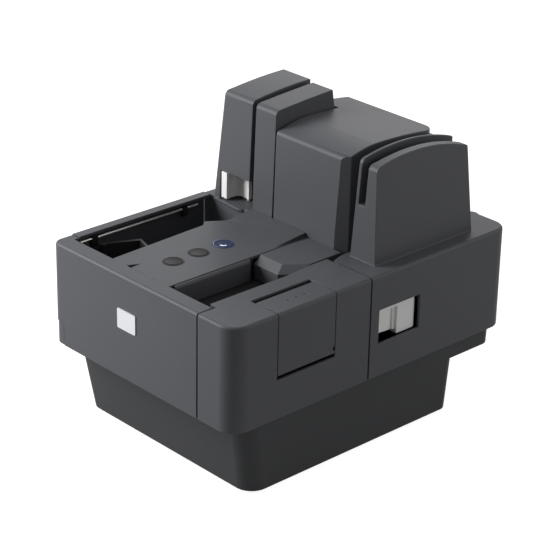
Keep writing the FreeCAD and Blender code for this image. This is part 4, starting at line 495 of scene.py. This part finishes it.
def isFlat(face):
    # Wide, and no wide neighbour carries it on round a gentle curve
    if faceWidth(face) < crease["wide"]:
        return False
    for edge in face.edges:
        if not edge.smooth or len(edge.link_faces) != 2:
            continue
        turn = math.degrees(edge.calc_face_angle(0))
        if turn > crease["level"] and min(faceWidth(other) for other in edge.link_faces) > crease["wide"]:
            return False
    return True


def settleNormals(piece):
    # A flat face shades flat right up to its corners, and the narrow faces of its rounded edges lead into it
    depsgraph = bpy.context.evaluated_depsgraph_get()
    rounded = piece.evaluated_get(depsgraph)
    data = bpy.data.meshes.new_from_object(rounded, preserve_all_data_layers=True, depsgraph=depsgraph)
    normals = [Vector(corner.vector) for corner in data.corner_normals]
    mesh = bmesh.new()
    mesh.from_mesh(data)
    flat = {face for face in mesh.faces if isFlat(face)}
    for face, polygon in zip(mesh.faces, data.polygons):
        for loop, place in zip(face.loops, polygon.loop_indices):
            if face in flat:
                normals[place] = face.normal.copy()
                continue
            beside = [
                (math.degrees(face.normal.angle(other.normal, math.pi)), other.index)
                for other in loop.vert.link_faces if other in flat
            ]
            if beside and min(beside)[0] < rounding["turn"]:
                normals[place] = data.polygons[min(beside)[1]].normal.copy()
    mesh.free()
    data.normals_split_custom_set(normals)
    plain = piece.data
    piece.modifiers.clear()
    piece.data = data
    bpy.data.meshes.remove(plain)
    data.name = piece.name


def roundedCopy(nodeName, width):
    mesh = bmesh.new()
    mesh.from_mesh(frame["nodes"][nodeName].data)
    bmesh.ops.remove_doubles(mesh, verts=mesh.verts, dist=mergeWithin)
    joinPlanes(mesh)
    if nodeName == "hopper_plate":
        raiseLip(mesh)
    for face in mesh.faces:
        face.smooth = True
    markCreases(mesh)
    markRounds(mesh, width * mm)
    data = bpy.data.meshes.new(nodeName + "_shell")
    mesh.to_mesh(data)
    mesh.free()
    piece = bpy.data.objects.new(nodeName + "_shell", data)
    bpy.context.scene.collection.objects.link(piece)
    finishSlot = shellSlot.get(nodeName, nodeSlot[nodeName])
    data.materials.append(slotFinish[finishSlot])
    bevel = piece.modifiers.new("edge", "BEVEL")
    bevel.width = width * mm
    bevel.segments = rounding["segments"]
    bevel.limit_method = "WEIGHT"
    bevel.use_clamp_overlap = False
    bevel.miter_outer = "MITER_ARC"
    flat = piece.modifiers.new("flatFaces", "WEIGHTED_NORMAL")
    flat.weight = rounding["flatWeight"]
    flat.keep_sharp = True
    settleNormals(piece)
    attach(piece, nodeBody[nodeName])
    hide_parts(nodeName)


for nodeName, width in edgeRounds.items():
    roundedCopy(nodeName, width)
print("rounded covers:", len(edgeRounds))


def dressNodes():
    for nodeName, node in frame["nodes"].items():
        finish = slotFinish[nodeSlot[nodeName]]
        if not node.material_slots:
            node.data.materials.append(finish)
        for slot in node.material_slots:
            slot.link = "OBJECT"
            slot.material = finish


dressNodes()
print("nodes dressed")


# Floor and lights of a plain studio
studio = {
    "floorSize": 6.0,        # from its middle to its edge, in metres
    "floorColour": "#a8a8a8",
    "floorGlow": 0.92,       # with the lamps' light on it the paper comes out white
    "worldLevel": 0.15,
    "mirrorShare": 0.5,      # how much of the white surroundings a glossy surface shows
    "aim": (0, 0, 0.12),
    "lamps": {               # metres and watts
        "keyLeft": dict(place=(-0.5, -0.55, 0.5), size=(0.35, 0.45), power=7.9),
        "top": dict(place=(-0.1, 0.15, 1.3), size=(1.0, 1.0), power=3.4),
        "rearRight": dict(place=(0.7, 0.5, 0.42), size=(0.5, 0.5), power=1.75),
        "rearLeft": dict(place=(-0.9, 1.1, 0.8), size=(0.7, 0.7), power=3.5),
    },
}


def whiteSurroundings(tree):
    # Eye and glass see the paper and the walls white, gloss sees them by the mirror share
    path = addNode(tree, "ShaderNodeLightPath")
    seen = addNode(tree, "ShaderNodeMath", {"operation": "MAXIMUM"})
    tree.links.new(path.outputs["Is Camera Ray"], seen.inputs[0])
    tree.links.new(path.outputs["Is Transmission Ray"], seen.inputs[1])
    glossy = addNode(tree, "ShaderNodeMath", {"operation": "MULTIPLY_ADD"})
    tree.links.new(path.outputs["Is Glossy Ray"], glossy.inputs[0])
    glossy.inputs[1].default_value = studio["mirrorShare"]
    tree.links.new(seen.outputs[0], glossy.inputs[2])
    return glossy.outputs[0]


def addStudio():
    floorMesh = bmesh.new()
    bmesh.ops.create_grid(floorMesh, x_segments=1, y_segments=1, size=studio["floorSize"])
    data = bpy.data.meshes.new("floor")
    floorMesh.to_mesh(data)
    floorMesh.free()
    floor = bpy.data.objects.new("floor", data)
    bpy.context.scene.collection.objects.link(floor)
    material, tree = startMaterial("paperSweep")    # matt studio paper, which keeps the shadow
    level = addNode(tree, "ShaderNodeMath", {"operation": "MULTIPLY"})
    tree.links.new(whiteSurroundings(tree), level.inputs[0])
    level.inputs[1].default_value = studio["floorGlow"]
    glow = addNode(tree, "ShaderNodeEmission", links={"Strength": level.outputs[0]})
    paper = addNode(tree, "ShaderNodeBsdfDiffuse", {"Color": toLinear(studio["floorColour"])})
    both = addNode(tree, "ShaderNodeAddShader")
    tree.links.new(glow.outputs[0], both.inputs[0])
    tree.links.new(paper.outputs[0], both.inputs[1])
    endMaterial(tree, both)
    data.materials.append(material)

    world = bpy.data.worlds.new("studio")
    bpy.context.scene.world = world
    world.use_nodes = True
    world.node_tree.nodes.clear()
    tree = world.node_tree
    strength = addNode(tree, "ShaderNodeMapRange", {"To Min": studio["worldLevel"], "To Max": 1.0}, {
        "Value": whiteSurroundings(tree),
    })
    sky = addNode(tree, "ShaderNodeBackground", {"Color": (1, 1, 1, 1)}, {"Strength": strength.outputs[0]})
    addNode(tree, "ShaderNodeOutputWorld", links={"Surface": sky.outputs[0]})

    for name, setup in studio["lamps"].items():
        lamp = bpy.data.lights.new(name, "AREA")
        lamp.shape = "RECTANGLE"
        lamp.size, lamp.size_y = setup["size"]
        lamp.energy = setup["power"]
        holder = bpy.data.objects.new(name, lamp)
        away = Vector(setup["place"]) - Vector(studio["aim"])
        turn = away.to_track_quat("Z", "Y").to_matrix().to_4x4()
        holder.matrix_world = Matrix.Translation(setup["place"]) @ turn
        bpy.context.scene.collection.objects.link(holder)


addStudio()
bpy.context.scene.view_settings.view_transform = "Standard"
print("studio lit")
